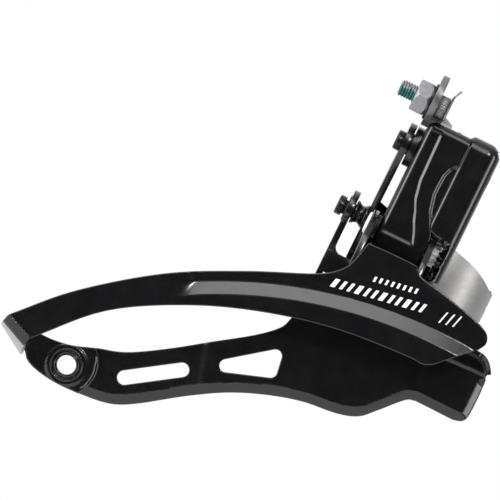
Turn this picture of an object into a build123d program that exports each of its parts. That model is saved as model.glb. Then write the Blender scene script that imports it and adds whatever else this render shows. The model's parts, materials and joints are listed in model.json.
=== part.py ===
from build123d import *
import math
import os

os.makedirs("parts", exist_ok=True)

# Frame: X to the front of the bicycle, Y to its left (the drive side is -Y), Z up the seat tube.
# The origin is the axis of the seat tube at the middle of the clamp strap. Millimetres.

# linkage: two fixed pivots on the body, two moving pivots on the cage, equal parallel links
link_length = 24.5
upper_pivot_y = -31.0
upper_pivot_z = 33.5
lower_pivot_y = -22.0
lower_pivot_z = 10.2
front_pivot_y = upper_pivot_y
front_pivot_z = upper_pivot_z - link_length
rear_pivot_y = lower_pivot_y
rear_pivot_z = lower_pivot_z - link_length
pin_d = 4.2
pin_clearance = 0.05

# clamp
tube_r = 14.3
strap_t = 1.6
strap_half_height = 6.5
hinge_angle = 32.0
hinge_radius = 16.7
hinge_pin_d = 2.4
knuckle_r = 2.3
bolt_x = -20.9
bolt_d = 5.0

# body bracket
body_left_x = -26.5
body_right_x = -1.3
flange_t = 1.9
right_flange_t = 1.6
web_t = 1.6
web_rear_y = -(tube_r + strap_t)
web_front_y = web_rear_y - web_t
lip_left_x = -8.8
lip_front_y = -36.5
lip_t = 1.6
lip_top_z = 42.3
lip_bottom_z = 14.5

# outer link
link_left_x = -22.3
link_right_x = -9.3
link_sheet = 1.5
link_front_y = -38.0
link_top_z = 42.5

# cage
outer_upper_y = -45.3
outer_lower_y = -47.0
cage_sheet = 1.2
inner_front_y = -35.2
dish_x = 5.7
dish_z = -150.3
dish_outer_r = 140.6
dish_inner_r = 136.8
tail_x = -83.5
tail_z = -63.5
tail_hole_d = 5.4
ear_r = 4.2

# cable anchor
anchor_y = -38.7
anchor_z = 46.8
anchor_d = 5.0

# limit screws
screw_d = 4.0
screw_head_r = 2.9
high_screw_x = -12.9
high_screw_z = 40.0
low_screw_x = -21.0
low_screw_z = -7.0


def on_x(x, y, z):
    """A plane across X at x, its centre at (y, z), its own x along +Y and y along +Z."""
    return Plane(origin=(x, y, z), x_dir=(0, 1, 0), z_dir=(1, 0, 0))


def on_y(y, x=0.0, z=0.0):
    """A plane facing the drive side at y, its own x along +X and y along +Z."""
    return Plane(origin=(x, y, z), x_dir=(1, 0, 0), z_dir=(0, -1, 0))


def tube_x(x0, x1, r, hole_r, y, z):
    """A round tube along X."""
    with BuildPart() as bar:
        with BuildSketch(on_x(x0, y, z)):
            Circle(r)
            Circle(hole_r, mode=Mode.SUBTRACT)
        extrude(amount=x1 - x0)
    return bar.part


def arc_sector(r0, r1, start, end):
    """Points of a ring sector as a closed outline, added to the line builder."""
    a = math.radians(start)
    b = math.radians(end)
    m = (a + b) / 2
    outer = [(r1 * math.cos(t), r1 * math.sin(t)) for t in (a, m, b)]
    inner = [(r0 * math.cos(t), r0 * math.sin(t)) for t in (b, m, a)]
    ThreePointArc(*outer)
    Line(outer[2], inner[0])
    ThreePointArc(*inner)
    Line(inner[2], outer[0])


# ---------------------------------------------------------------- clamp
hinge_x = hinge_radius * math.cos(math.radians(hinge_angle))
hinge_y = hinge_radius * math.sin(math.radians(hinge_angle))
strap_r = tube_r + strap_t
pad_half = 11.0
rivet_x = -12.5
rivet_z = 7.0
ear_t = 1.8
ear_setback = 8.7
ear_gap = 2.6
ear_end_x = -25.0
fixed_ear_y = web_rear_y + ear_setback
swing_ear_y = fixed_ear_y + ear_t + ear_gap
fixed_ear_x = 0.1 - tube_r
swing_ear_x = -0.5 - tube_r
strap_start = math.degrees(math.asin((-1.0 - fixed_ear_y) / strap_r)) - 180

with BuildPart() as clamp_band_fixed:
    with BuildSketch(Plane.XY.offset(-13)):
        with BuildLine():
            arc_sector(tube_r, strap_r, strap_start, 20)
        make_face()
        with Locations((-8.4, web_rear_y + strap_t / 2)):
            Rectangle(16.2, strap_t)
        Circle(tube_r, mode=Mode.SUBTRACT)
    extrude(amount=26)
    with BuildSketch(Plane.XY.offset(-6)):
        with Locations(((ear_end_x + fixed_ear_x) / 2, fixed_ear_y + ear_t / 2)):
            Rectangle(fixed_ear_x - ear_end_x, ear_t)
        Circle(tube_r, mode=Mode.SUBTRACT)
    extrude(amount=12)
    with BuildSketch(on_y(40)):
        with BuildLine():
            Polyline((-30, -6), (-17.5, -6), (-16.5, -pad_half), (-4, -12.9), (0.8, -12.8))
            Spline((0.8, -12.8), (5, -11.7), (10, -9.8), (13, -8), (15.2, -strap_half_height))
            Polyline((15.2, -strap_half_height), (20, -strap_half_height), (20, strap_half_height))
            Line((20, strap_half_height), (15.2, strap_half_height))
            Spline((15.2, strap_half_height), (13, 8), (10, 9.8), (5, 11.7), (0.8, 12.8))
            Polyline((0.8, 12.8), (-4, 12.9), (-16.5, pad_half), (-17.5, 6), (-30, 6), (-30, -6))
        make_face()
    extrude(amount=80, mode=Mode.INTERSECT)
    for z in (-strap_half_height, 2.6):
        with BuildSketch(Plane.XY.offset(z)):
            with BuildLine():
                arc_sector(tube_r, strap_r, 18, hinge_angle)
            make_face()
            with Locations((hinge_x, hinge_y)):
                Circle(knuckle_r)
            with Locations((hinge_x, hinge_y)):
                Circle(hinge_pin_d / 2, mode=Mode.SUBTRACT)
        extrude(amount=strap_half_height - 2.6)
    with BuildSketch(on_y(0, bolt_x, 0)):
        Circle(bolt_d / 2 + 0.35)
    extrude(amount=12, mode=Mode.SUBTRACT)
    with BuildSketch(on_y(0, rivet_x, 0)):
        with Locations((0, rivet_z), (0, -rivet_z)):
            Circle(1.5)
    extrude(amount=20, mode=Mode.SUBTRACT)

with BuildPart() as clamp_band_swing:
    with BuildSketch(Plane.XY.offset(-strap_half_height)):
        with BuildLine():
            arc_sector(tube_r, strap_r, 46, 186)
        make_face()
    extrude(amount=2 * strap_half_height)
    with BuildSketch(Plane.XY.offset(-6)):
        with Locations(((ear_end_x + swing_ear_x) / 2, swing_ear_y + ear_t / 2)):
            Rectangle(swing_ear_x - ear_end_x, ear_t)
        Circle(tube_r, mode=Mode.SUBTRACT)
    extrude(amount=12)
    with BuildSketch(Plane.XY.offset(-2.25)):
        with BuildLine():
            arc_sector(tube_r, strap_r, hinge_angle, 48)
        make_face()
        with Locations((hinge_x, hinge_y)):
            Circle(knuckle_r)
        with Locations((hinge_x, hinge_y)):
            Circle(hinge_pin_d / 2 + pin_clearance, mode=Mode.SUBTRACT)
    extrude(amount=4.5)
    with BuildSketch(on_y(0, bolt_x - 0.3, 0)):
        SlotOverall(7.4, bolt_d + 0.8)
    extrude(amount=4, mode=Mode.SUBTRACT)

with BuildPart() as clamp_hinge_pin:
    with BuildSketch(Plane.XY.offset(-strap_half_height - 0.8)):
        with Locations((hinge_x, hinge_y)):
            Circle(1.9)
    extrude(amount=0.8)
    with BuildSketch(Plane.XY.offset(-strap_half_height)):
        with Locations((hinge_x, hinge_y)):
            Circle(hinge_pin_d / 2)
    extrude(amount=2 * strap_half_height)
    with BuildSketch(Plane.XY.offset(strap_half_height)):
        with Locations((hinge_x, hinge_y)):
            Circle(1.7)
    extrude(amount=0.7)

bolt_seat_y = swing_ear_y + ear_t
bolt_end_y = fixed_ear_y - 5.1
washer_t = 1.0
with BuildPart() as clamp_bolt:
    with BuildSketch(on_y(bolt_seat_y + washer_t, bolt_x, 0)):
        Circle(bolt_d / 2)
    extrude(amount=bolt_seat_y + washer_t - bolt_end_y)
    with BuildSketch(on_y(bolt_seat_y + washer_t + 4.2, bolt_x, 0)):
        Circle(4.0)
    extrude(amount=4.2)
    with BuildSketch(on_y(bolt_seat_y + washer_t + 5, bolt_x, 0)):
        RegularPolygon(2.0, 6, major_radius=False)
    extrude(amount=3.3, mode=Mode.SUBTRACT)
    chamfer(clamp_bolt.faces().sort_by(Axis.Y)[0].edges(), 0.5)

with BuildPart() as clamp_washer:
    with BuildSketch(on_y(bolt_seat_y + washer_t, bolt_x, 0)):
        Circle(4.1)
        Circle(bolt_d / 2 + 0.15, mode=Mode.SUBTRACT)
    extrude(amount=washer_t - 0.1)

with BuildPart() as clamp_nut:
    with BuildSketch(on_y(fixed_ear_y, bolt_x, 0)):
        RegularPolygon(4.0, 6, major_radius=False, rotation=30)
        Circle(bolt_d / 2 + 0.08, mode=Mode.SUBTRACT)
    extrude(amount=4.0)

# ---------------------------------------------------------------- body bracket
flange_inner_x = body_left_x + flange_t
right_inner_x = body_right_x - right_flange_t


with BuildPart() as body_bracket:
    # right flange, front lip and web as one bent sheet
    with BuildSketch(on_x(right_inner_x, 0, 0)):
        with BuildLine():
            Line((lip_front_y, lip_bottom_z), (lip_front_y, lip_top_z - 3))
            RadiusArc((lip_front_y, lip_top_z - 3), (lip_front_y + 3, lip_top_z), 3)
            Line((lip_front_y + 3, lip_top_z), (-27, lip_top_z))
            Spline((-27, lip_top_z), (-21, 38), (web_rear_y, 31))
            Polyline((web_rear_y, 31), (web_rear_y, 0), (-20, -1), (-25.5, 3.5))
            Spline((-25.5, 3.5), (-26.9, 9), (-29.5, 13), (lip_front_y, lip_bottom_z))
        make_face()
    extrude(amount=right_flange_t)
    with BuildSketch(on_y(lip_front_y + lip_t)):
        with BuildLine():
            Polyline((body_right_x, lip_bottom_z), (lip_left_x, lip_bottom_z), (lip_left_x, lip_top_z - 1))
            RadiusArc((lip_left_x, lip_top_z - 1), (lip_left_x + 1, lip_top_z), 1)
            Line((lip_left_x + 1, lip_top_z), (body_right_x - 3.5, lip_top_z))
            RadiusArc((body_right_x - 3.5, lip_top_z), (body_right_x, lip_top_z - 3.5), 3.5)
            Line((body_right_x, lip_top_z - 3.5), (body_right_x, lip_bottom_z))
        make_face()
    extrude(amount=lip_t)
    with BuildSketch(on_y(web_rear_y)):
        with BuildLine():
            Polyline((body_left_x, -2), (-24.8, -9), (-22.5, -11.2), (-18, -11.2), (-10, -11.2), (-8.5, -6))
            Polyline((-8.5, -6), (body_right_x, -4), (body_right_x, 31), (-9, 35), (-10.5, 37))
            Polyline(
                (-10.5, 37),
                (-10.5, 42.4),
                (-16, 42.4),
                (-22, 38.5),
                (body_left_x, 36),
                (body_left_x, -2),
            )
        make_face()
    extrude(amount=web_rear_y - web_front_y)
    # left flange
    with BuildSketch(on_x(body_left_x, 0, 0)):
        with Locations((upper_pivot_y, upper_pivot_z)):
            Circle(6.0)
        with Locations((lower_pivot_y, lower_pivot_z)):
            Circle(4.2)
        with BuildLine():
            Line((web_rear_y, 36), (upper_pivot_y + 1, upper_pivot_z + 5.9))
            Line((upper_pivot_y + 1, upper_pivot_z + 5.9), (upper_pivot_y - 5.2, upper_pivot_z - 3))
            Spline((upper_pivot_y - 5.2, upper_pivot_z - 3), (-31.2, 22.5), (-27.0, 15.5), (-26.1, 9.3))
            Polyline((-26.1, 9.3), (-22.3, 4), (web_rear_y, -2), (web_rear_y, 36))
        make_face()
    extrude(amount=flange_t)
    # window in the web
    with BuildSketch(on_y(0)):
        with BuildLine():
            Polyline((flange_inner_x, 16), (-21, 15), (-12, 15), (-12, 26), (-15, 31), (flange_inner_x, 31))
            Line((flange_inner_x, 31), (flange_inner_x, 16))
        make_face()
    extrude(amount=-web_front_y + 1, mode=Mode.SUBTRACT)
    # screw bosses
    with BuildSketch(on_y(web_front_y, high_screw_x, high_screw_z)):
        Circle(3.2)
    extrude(amount=2.4)
    with BuildSketch(on_y(web_front_y, low_screw_x, low_screw_z)):
        Circle(3.9)
    extrude(amount=2.4)
    with BuildSketch(on_y(0)):
        with Locations((high_screw_x, high_screw_z), (low_screw_x, low_screw_z)):
            Circle(screw_d / 2 + 0.08)
    extrude(amount=25, mode=Mode.SUBTRACT)
    # rivet and pivot holes
    with BuildSketch(on_y(0, rivet_x, 0)):
        with Locations((0, rivet_z), (0, -rivet_z)):
            Circle(1.5)
    extrude(amount=20, mode=Mode.SUBTRACT)
    with BuildSketch(on_x(body_left_x - 1, 0, 0)):
        with Locations((upper_pivot_y, upper_pivot_z), (lower_pivot_y, lower_pivot_z)):
            Circle(pin_d / 2)
    extrude(amount=30, mode=Mode.SUBTRACT)

with BuildPart() as body_rivets:
    for z in (rivet_z, -rivet_z):
        with BuildSketch(on_y(web_rear_y + strap_t, rivet_x, z)):
            Circle(1.5)
        extrude(amount=web_rear_y + strap_t - web_front_y)
        with BuildSketch(on_y(web_rear_y + strap_t + 1.0, rivet_x, z)):
            Circle(2.3)
        extrude(amount=1.0)
        with BuildSketch(on_y(web_front_y, rivet_x, z)):
            Circle(2.5)
        extrude(amount=1.1)


def pivot_pin(x_head0, x_head1, head_r, x_end0, x_end1, end_r, y, z, dome):
    """A pivot pin along X: a small upset head at the rear, a shank, a flat head at the front."""
    with BuildPart() as pin:
        with BuildSketch(on_x(x_head0, y, z)):
            Circle(head_r)
        extrude(amount=x_head1 - x_head0)
        with BuildSketch(on_x(x_head1, y, z)):
            Circle(pin_d / 2)
        extrude(amount=x_end0 - x_head1)
        with BuildSketch(on_x(x_end0, y, z)):
            Circle(end_r)
        extrude(amount=x_end1 - x_end0)
        fillet(pin.faces().sort_by(Axis.X)[0].edges(), dome)
        chamfer(pin.faces().sort_by(Axis.X)[-1].edges(), 0.3)
    return pin.part


upper_pin = pivot_pin(-28.6, body_left_x, 2.85, body_right_x, 0.0, 4.5, upper_pivot_y, upper_pivot_z, 0.5)
lower_pin = pivot_pin(-35.3, -33.3, 2.8, body_right_x, 0.2, 4.7, lower_pivot_y, lower_pivot_z, 0.5)
front_pin = pivot_pin(-26.0, -25.3, 3.2, -5.8, -3.3, 3.65, front_pivot_y, front_pivot_z, 0.3)
rear_pin = pivot_pin(-34.2, -32.8, 2.8, -5.8 + 2.4, -2.6, 2.9, rear_pivot_y, rear_pivot_z, 0.5)

spacer_bore_r = pin_d / 2 + pin_clearance
spacer_rim_r = spacer_bore_r + 1.05
spacer_waist_r = spacer_bore_r + 0.5
with BuildPart() as spacer_bush:
    with BuildSketch(Plane(origin=(0, lower_pivot_y, lower_pivot_z), x_dir=(1, 0, 0), z_dir=(0, -1, 0))):
        with BuildLine():
            Polyline((-30.2, spacer_bore_r), (-30.2, spacer_bore_r + 1.25), (-29.4, spacer_rim_r))
            ThreePointArc((-29.4, spacer_rim_r), (-28.3, spacer_waist_r), (-27.2, spacer_rim_r))
            Line((-27.2, spacer_rim_r), (body_left_x, spacer_bore_r + 1.25))
            Polyline(
                (body_left_x, spacer_bore_r + 1.25),
                (body_left_x, spacer_bore_r),
                (-30.2, spacer_bore_r),
            )
        make_face()
    revolve(axis=Axis((0, lower_pivot_y, lower_pivot_z), (1, 0, 0)), revolution_arc=360)

# ---------------------------------------------------------------- limit screws


def limit_screw(head_y, tip_y, x, z):
    """A cross-recessed cheese-head screw along Y, its tip towards the drive side."""
    with BuildPart() as screw:
        with BuildSketch(on_y(head_y, x, z)):
            Circle(screw_head_r)
        extrude(amount=2.4)
        with BuildSketch(on_y(head_y - 2.4, x, z)):
            Circle(screw_d / 2)
        extrude(amount=head_y - 2.4 - tip_y)
        fillet(screw.faces().sort_by(Axis.Y)[-1].edges(), 0.6)
        chamfer(screw.faces().sort_by(Axis.Y)[0].edges(), 0.6)
        with BuildSketch(on_y(head_y, x, z)):
            Rectangle(4.0, 0.9)
            Rectangle(0.9, 4.0)
        extrude(amount=1.3, mode=Mode.SUBTRACT)
    return screw.part


screw_gap = 1.2
inner_web_rear_y = -26.0
low_screw = limit_screw(web_rear_y + screw_gap + 2.4, inner_web_rear_y + 0.35, low_screw_x, low_screw_z)
high_screw = limit_screw(web_rear_y + screw_gap + 2.4, upper_pivot_y + 3.8, high_screw_x, high_screw_z)

# ---------------------------------------------------------------- outer link
lug_x = -24.2
link_holes = [(upper_pivot_y, upper_pivot_z), (front_pivot_y, front_pivot_z)]
bush_r = 3.4

with BuildPart() as outer_link:
    with BuildSketch(on_x(link_left_x, 0, 0)):
        with BuildLine():
            Line((-34.2, link_top_z), (-35.5, link_top_z))
            RadiusArc((-35.5, link_top_z), (link_front_y, link_top_z - 2.6), -2.6)
            Line((link_front_y, link_top_z - 2.6), (link_front_y, front_pivot_z + 0.5))
            Spline((link_front_y, front_pivot_z + 0.5), (-36.4, 5.4), (-33.5, 4.0), (front_pivot_y, 4.0))
            ThreePointArc((front_pivot_y, 4.0), (-26.6, 7), (-26.1, 10))
            Spline((-26.1, 10), (-29.2, 18), (-29.2, 25), (-25.2, 32))
            ThreePointArc((-25.2, 32), (-25.3, 35.5), (-29, 39.2))
            Polyline((-29, 39.2), (-34.2, 39.6), (-34.2, link_top_z))
        make_face()
    extrude(amount=link_right_x - link_left_x)
    # hollow behind the front sheet
    with BuildSketch(on_x(link_left_x + link_sheet, 0, 0)):
        with BuildLine():
            Line((-20, link_top_z - link_sheet), (-35.5, link_top_z - link_sheet))
            RadiusArc((-35.5, link_top_z - link_sheet), (-36.5, link_top_z - 2.6), -1.2)
            Line((-36.5, link_top_z - 2.6), (-36.5, front_pivot_z + 1))
            Spline((-36.5, front_pivot_z + 1), (-35.2, 6.6), (-33, 5.5), (front_pivot_y, 5.3))
            Polyline((front_pivot_y, 5.3), (-20, 5.3), (-20, link_top_z - link_sheet))
        make_face()
    extrude(amount=link_right_x - link_left_x - 2 * link_sheet, mode=Mode.SUBTRACT)
    # notch in the top fold for the foot of the cable arm
    with BuildSketch(on_y(-30)):
        with Locations((-18.8, 41.5)):
            Rectangle(7.4, 4.0)
    extrude(amount=-30 - link_front_y - link_sheet, mode=Mode.SUBTRACT)
    # rear lug round the upper pivot
    with BuildSketch(on_x(lug_x, upper_pivot_y, upper_pivot_z)):
        Circle(5.9)
    extrude(amount=link_left_x - lug_x + 0.4)
    # shallow recess along the front edge of the face
    with BuildSketch(on_y(link_front_y + 0.45)):
        with BuildLine():
            Line((link_right_x + 1, 34.5), (-11, 34.2))
            Spline((-11, 34.2), (-12.5, 31.5), (-13, 27), (-12.7, 23), (-11.5, 18.5), (link_right_x, 16))
            Polyline((link_right_x, 16), (link_right_x + 1, 16), (link_right_x + 1, 34.5))
        make_face()
    extrude(amount=1, mode=Mode.SUBTRACT)
    # raised crease
    with BuildSketch(on_y(link_front_y)):
        with BuildLine():
            Spline((-18.0, 41.2), (-17.8, 26), (-17.0, 21), (-15.0, 16), (-12.6, 10.5), (-10.9, 7.6))
            Line((-10.9, 7.6), (-10.0, 7.9))
            Spline((-10.0, 7.9), (-11.7, 10.9), (-14.1, 16.4), (-16.1, 21.4), (-16.9, 26.2), (-17.1, 41.2))
            Line((-17.1, 41.2), (-18.0, 41.2))
        make_face()
    extrude(amount=0.3)
    with BuildSketch(on_x(lug_x - 1, 0, 0)):
        with Locations(*link_holes):
            Circle(bush_r)
    extrude(amount=20, mode=Mode.SUBTRACT)

upper_bush = tube_x(
    lug_x,
    link_right_x + 0.3,
    bush_r,
    pin_d / 2 + pin_clearance,
    upper_pivot_y,
    upper_pivot_z,
)
lower_bush = tube_x(-23.2, -7.8, bush_r, pin_d / 2 + pin_clearance, front_pivot_y, front_pivot_z)
outer_link_bushes = Compound(children=[upper_bush, lower_bush])

# ---------------------------------------------------------------- cable arm and anchor
arm_x = -24.3
arm_t = 1.9
foot_rear_y = -34.7
arm_rivet_r = 0.9
arm_rivet_places = [(-17.9, 38.9), (-17.9, 28.6)]

with BuildPart() as cable_arm:
    with BuildSketch(on_x(arm_x, 0, 0)):
        with Locations((anchor_y - 0.6, anchor_z + 1.6)):
            Circle(6.6)
        with Locations((-35.2, 41.2)):
            Rectangle(4.6, 2.2)
        make_hull()
    extrude(amount=arm_t)
    with BuildSketch(on_y(foot_rear_y)):
        with BuildLine():
            Polyline(
                (arm_x, 39.95),
                (arm_x, 45.5),
                (-22.4, 45.2),
                (-22.4, 43.5),
                (-16.4, 42.9),
                (-15.3, 41.4),
            )
            Polyline((-15.3, 41.4), (-15.3, 27), (-20.5, 27), (-20.5, 39.95), (arm_x, 39.95))
        make_face()
    extrude(amount=foot_rear_y - (link_front_y + link_sheet))
    with BuildSketch(on_x(arm_x - 1, anchor_y, anchor_z)):
        Circle(anchor_d / 2)
    extrude(amount=4, mode=Mode.SUBTRACT)
    with BuildSketch(on_y(-30)):
        with Locations(*arm_rivet_places):
            Circle(arm_rivet_r)
    extrude(amount=12, mode=Mode.SUBTRACT)

with BuildPart() as arm_rivets:
    for x, z in arm_rivet_places:
        with BuildSketch(on_y(foot_rear_y, x, z)):
            Circle(arm_rivet_r)
        extrude(amount=foot_rear_y - link_front_y - link_sheet + 0.9)
        with BuildSketch(on_y(foot_rear_y + 0.9, x, z)):
            Circle(arm_rivet_r + 0.5)
        extrude(amount=0.9)

with BuildPart() as rivet_sockets:
    with BuildSketch(on_y(link_front_y + link_sheet)):
        with Locations(*arm_rivet_places):
            Circle(arm_rivet_r)
    extrude(amount=0.9)

anchor_washer_x = arm_x - 0.6
nut_x = -29.3
with BuildPart() as anchor_nut:
    with BuildSketch(on_x(nut_x, anchor_y, anchor_z)):
        RegularPolygon(4.5, 6, major_radius=False)
        Circle(anchor_d / 2, mode=Mode.SUBTRACT)
    extrude(amount=anchor_washer_x - nut_x)

with BuildPart() as anchor_washer:
    with BuildSketch(on_x(anchor_washer_x, anchor_y, anchor_z)):
        Circle(5.3)
        Circle(anchor_d / 2, mode=Mode.SUBTRACT)
    extrude(amount=0.6)

with BuildPart() as anchor_bolt:
    with BuildSketch(on_x(-34.0, anchor_y, anchor_z)):
        Circle(anchor_d / 2)
    extrude(amount=34.0 - 19.2)
    chamfer(anchor_bolt.faces().sort_by(Axis.X)[0].edges(), 0.5)
    with BuildSketch(on_x(arm_x + arm_t, anchor_y, anchor_z)):
        Circle(3.1)
    extrude(amount=-19.6 - arm_x - arm_t)

with BuildPart() as cable_plate:
    with BuildSketch(on_x(-19.2 - 0.4, anchor_y, anchor_z)):
        with BuildLine():
            Polyline(
                (-3.6, -3.2),
                (3.6, -3.2),
                (3.6, 4.4),
                (1.8, 6.2),
                (-1.8, 6.2),
                (-3.6, 4.4),
                (-3.6, -3.2),
            )
        make_face()
        Circle(anchor_d / 2, mode=Mode.SUBTRACT)
    extrude(amount=1.2)

# ---------------------------------------------------------------- inner link
ear_left_x0 = -32.3
ear_left_x1 = -30.5
ear_right_x0 = -5.5
ear_right_x1 = -3.7
inner_web_top_z = -2.5
web_corner_r = 2.2

with BuildPart() as inner_link:
    for x0, x1, top_r in ((ear_left_x0, ear_left_x1, 5.6), (ear_right_x0, ear_right_x1, 4.0)):
        with BuildSketch(on_x(x0, 0, 0)):
            with Locations((lower_pivot_y, lower_pivot_z)):
                Circle(top_r)
            with Locations((rear_pivot_y, rear_pivot_z)):
                Circle(4.0)
            with Locations((lower_pivot_y, (lower_pivot_z + rear_pivot_z) / 2)):
                Rectangle(7.4, link_length)
            with Locations((-25.2, -5.65)):
                Rectangle(5.6, 6.3)
        extrude(amount=x1 - x0)
    with BuildSketch(on_y(inner_web_rear_y)):
        with Locations(((ear_left_x0 + ear_right_x1) / 2, -5.65)):
            Rectangle(ear_right_x1 - ear_left_x0, 6.3)
        with BuildLine():
            corner_x = ear_left_x1 + web_corner_r
            corner_z = inner_web_top_z + web_corner_r
            Polyline(
                (ear_left_x1 - 0.2, inner_web_top_z - 0.2),
                (ear_left_x1 - 0.2, corner_z),
                (ear_left_x1, corner_z),
            )
            RadiusArc((ear_left_x1, corner_z), (corner_x, inner_web_top_z), -web_corner_r)
            Line((corner_x, inner_web_top_z), (corner_x, inner_web_top_z - 0.2))
            Line((corner_x, inner_web_top_z - 0.2), (ear_left_x1 - 0.2, inner_web_top_z - 0.2))
        make_face()
    extrude(amount=2.0)
    with BuildSketch(on_x(ear_left_x0 - 1, 0, 0)):
        with Locations((lower_pivot_y, lower_pivot_z), (rear_pivot_y, rear_pivot_z)):
            Circle(pin_d / 2 + 0.75)
    extrude(amount=32, mode=Mode.SUBTRACT)


def flanged_bush(x0, x1, flange_x0, y, z):
    """A thin flanged sleeve through one ear of the inner link."""
    with BuildPart() as bush:
        with BuildSketch(on_x(x0, y, z)):
            Circle(pin_d / 2 + 0.75)
            Circle(pin_d / 2 + pin_clearance, mode=Mode.SUBTRACT)
        extrude(amount=x1 - x0)
        with BuildSketch(on_x(flange_x0, y, z)):
            Circle(3.7)
            Circle(pin_d / 2 + pin_clearance, mode=Mode.SUBTRACT)
        extrude(amount=0.3)
    return bush.part


bushes = []
for y, z in ((lower_pivot_y, lower_pivot_z), (rear_pivot_y, rear_pivot_z)):
    bushes.append(flanged_bush(ear_left_x0, ear_left_x1, ear_left_x0 - 0.3, y, z))
    bushes.append(flanged_bush(ear_right_x0, ear_right_x1, ear_right_x1, y, z))
inner_link_bushes = Compound(children=bushes)

# ---------------------------------------------------------------- return spring
spring_r = 3.1
wire_r = 0.5
spring_x0 = -8.2
spring_turns = 4
spring_pitch = 1.1
spring_end_x = spring_x0 + spring_turns * spring_pitch

with BuildPart() as return_spring:
    with BuildLine() as wire_path:
        Helix(
            pitch=spring_pitch,
            height=spring_turns * spring_pitch,
            radius=spring_r,
            center=(spring_x0, upper_pivot_y, upper_pivot_z),
            direction=(1, 0, 0),
        )
    with BuildSketch(Plane(origin=wire_path.line @ 0, z_dir=wire_path.line % 0)):
        Circle(wire_r)
    sweep(is_frenet=True)
spring_start = wire_path.line @ 0
spring_start_dir = wire_path.line % 0
spring_finish = wire_path.line @ 1
spring_finish_dir = wire_path.line % 1
with BuildPart() as spring_legs:
    with BuildSketch(Plane(origin=spring_start, z_dir=-spring_start_dir)):
        Circle(wire_r)
    extrude(amount=3.2)
    with BuildSketch(Plane(origin=spring_finish, z_dir=spring_finish_dir)):
        Circle(wire_r)
    extrude(amount=3.2)

# ---------------------------------------------------------------- cage
with BuildPart() as outer_cage_plate:
    dish_plane = Plane(origin=(dish_x, 0, dish_z), x_dir=(0, 0, 1), z_dir=(-1, 0, 0))
    with BuildSketch(dish_plane):
        with BuildLine():
            Polyline((40, outer_lower_y), (dish_inner_r, outer_lower_y), (dish_outer_r, outer_upper_y))
            Polyline((dish_outer_r, outer_upper_y), (190, outer_upper_y), (190, outer_upper_y + cage_sheet))
            Line((190, outer_upper_y + cage_sheet), (dish_outer_r - 0.3, outer_upper_y + cage_sheet))
            Line(
                (dish_outer_r - 0.3, outer_upper_y + cage_sheet),
                (dish_inner_r - 0.3, outer_lower_y + cage_sheet),
            )
            Line((dish_inner_r - 0.3, outer_lower_y + cage_sheet), (40, outer_lower_y + cage_sheet))
            Line((40, outer_lower_y + cage_sheet), (40, outer_lower_y))
        make_face()
    revolve(axis=Axis((dish_x, 0, dish_z), (0, 1, 0)), revolution_arc=360)
    with BuildSketch(on_y(-30)):
        with BuildLine():
            Line((-23.0, 3.8), (-8.0, 4.0))
            Spline((-8.0, 4.0), (-7.2, 2.7), (-5.8, 1.8), (-4.4, 1.4))
            Line((-4.4, 1.4), (15.0, -3.1))
            Spline((15.0, -3.1), (17.6, -4.6), (18.6, -7.0), (17.4, -9.6))
            Line((17.4, -9.6), (8.0, -18.6))
            Spline((8.0, -18.6), (5.0, -19.9), (0, -19.8), (-20, -21.5), (-40, -26),
                   (-60, -33.5), (-80, -45), (-95.6, -61.1))
            Line((-95.6, -61.1), (-103.8, -57.6))
            Spline((-103.8, -57.6), (-90, -43.5), (-70, -28.5), (-50, -18), (-32, -10),
                   (-26.2, -5.6), (-24.4, -2.0), (-23.0, 3.8))
        make_face()
    extrude(amount=30, mode=Mode.INTERSECT)
    # ears back to the front cage pivot
    for x0, x1 in ((-25.3, -23.5), (-7.5, -5.8)):
        with BuildSketch(on_x(x0, 0, 0)):
            with BuildLine():
                Polyline((outer_upper_y + 0.3, -4.0), (outer_upper_y + 0.3, 5.0))
                Spline(
                    (outer_upper_y + 0.3, 5.0),
                    (-40, 10.6),
                    (-34.5, 12.9),
                    (front_pivot_y, front_pivot_z + ear_r),
                )
                RadiusArc(
                    (front_pivot_y, front_pivot_z + ear_r),
                    (front_pivot_y, front_pivot_z - ear_r),
                    ear_r,
                )
                Spline(
                    (front_pivot_y, front_pivot_z - ear_r),
                    (-38, 2.6),
                    (-42.5, -0.6),
                    (outer_upper_y + 0.3, -4.0),
                )
            make_face()
            with Locations((front_pivot_y, front_pivot_z)):
                Circle(pin_d / 2, mode=Mode.SUBTRACT)
        extrude(amount=x1 - x0)
    # bent tail wall and the tab that meets the inner plate
    with BuildSketch(Plane(origin=(0, outer_lower_y, 0), x_dir=(1, 0, 0), z_dir=(0, 1, 0))):
        with BuildLine():
            Polyline((-103.8, 57.6), (-95.6, 61.1), (-95.1, 60.0), (-103.2, 56.4), (-103.8, 57.6))
        make_face()
    with BuildSketch(Plane(origin=(0, inner_front_y, 0), x_dir=(1, 0, 0), z_dir=(0, 1, 0))):
        with BuildLine():
            Polyline((-104.3, 60.2), (-95.7, 65.5), (-95.0, 64.4), (-103.6, 59.1), (-104.3, 60.2))
        make_face()
    loft()
    with BuildSketch(on_y(inner_front_y)):
        with BuildLine():
            Polyline((-103.6, -59.5), (-98, -58.6), (-94.5, -58.9))
            Spline((-94.5, -58.9), (-90, -58.8), (-84.5, -57.9), (-78, -55.6))
            ThreePointArc((-78, -55.6), (-74.9, -63.2), (-77.2, -69.3))
            Spline((-77.2, -69.3), (-84, -69.4), (-90, -68.6), (-93.8, -67.2), (-95.6, -65.2))
            Line((-95.6, -65.2), (-103.6, -59.5))
        make_face()
        with Locations((tail_x, tail_z)):
            Circle(tail_hole_d / 2 + 0.5, mode=Mode.SUBTRACT)
    extrude(amount=cage_sheet)

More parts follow.
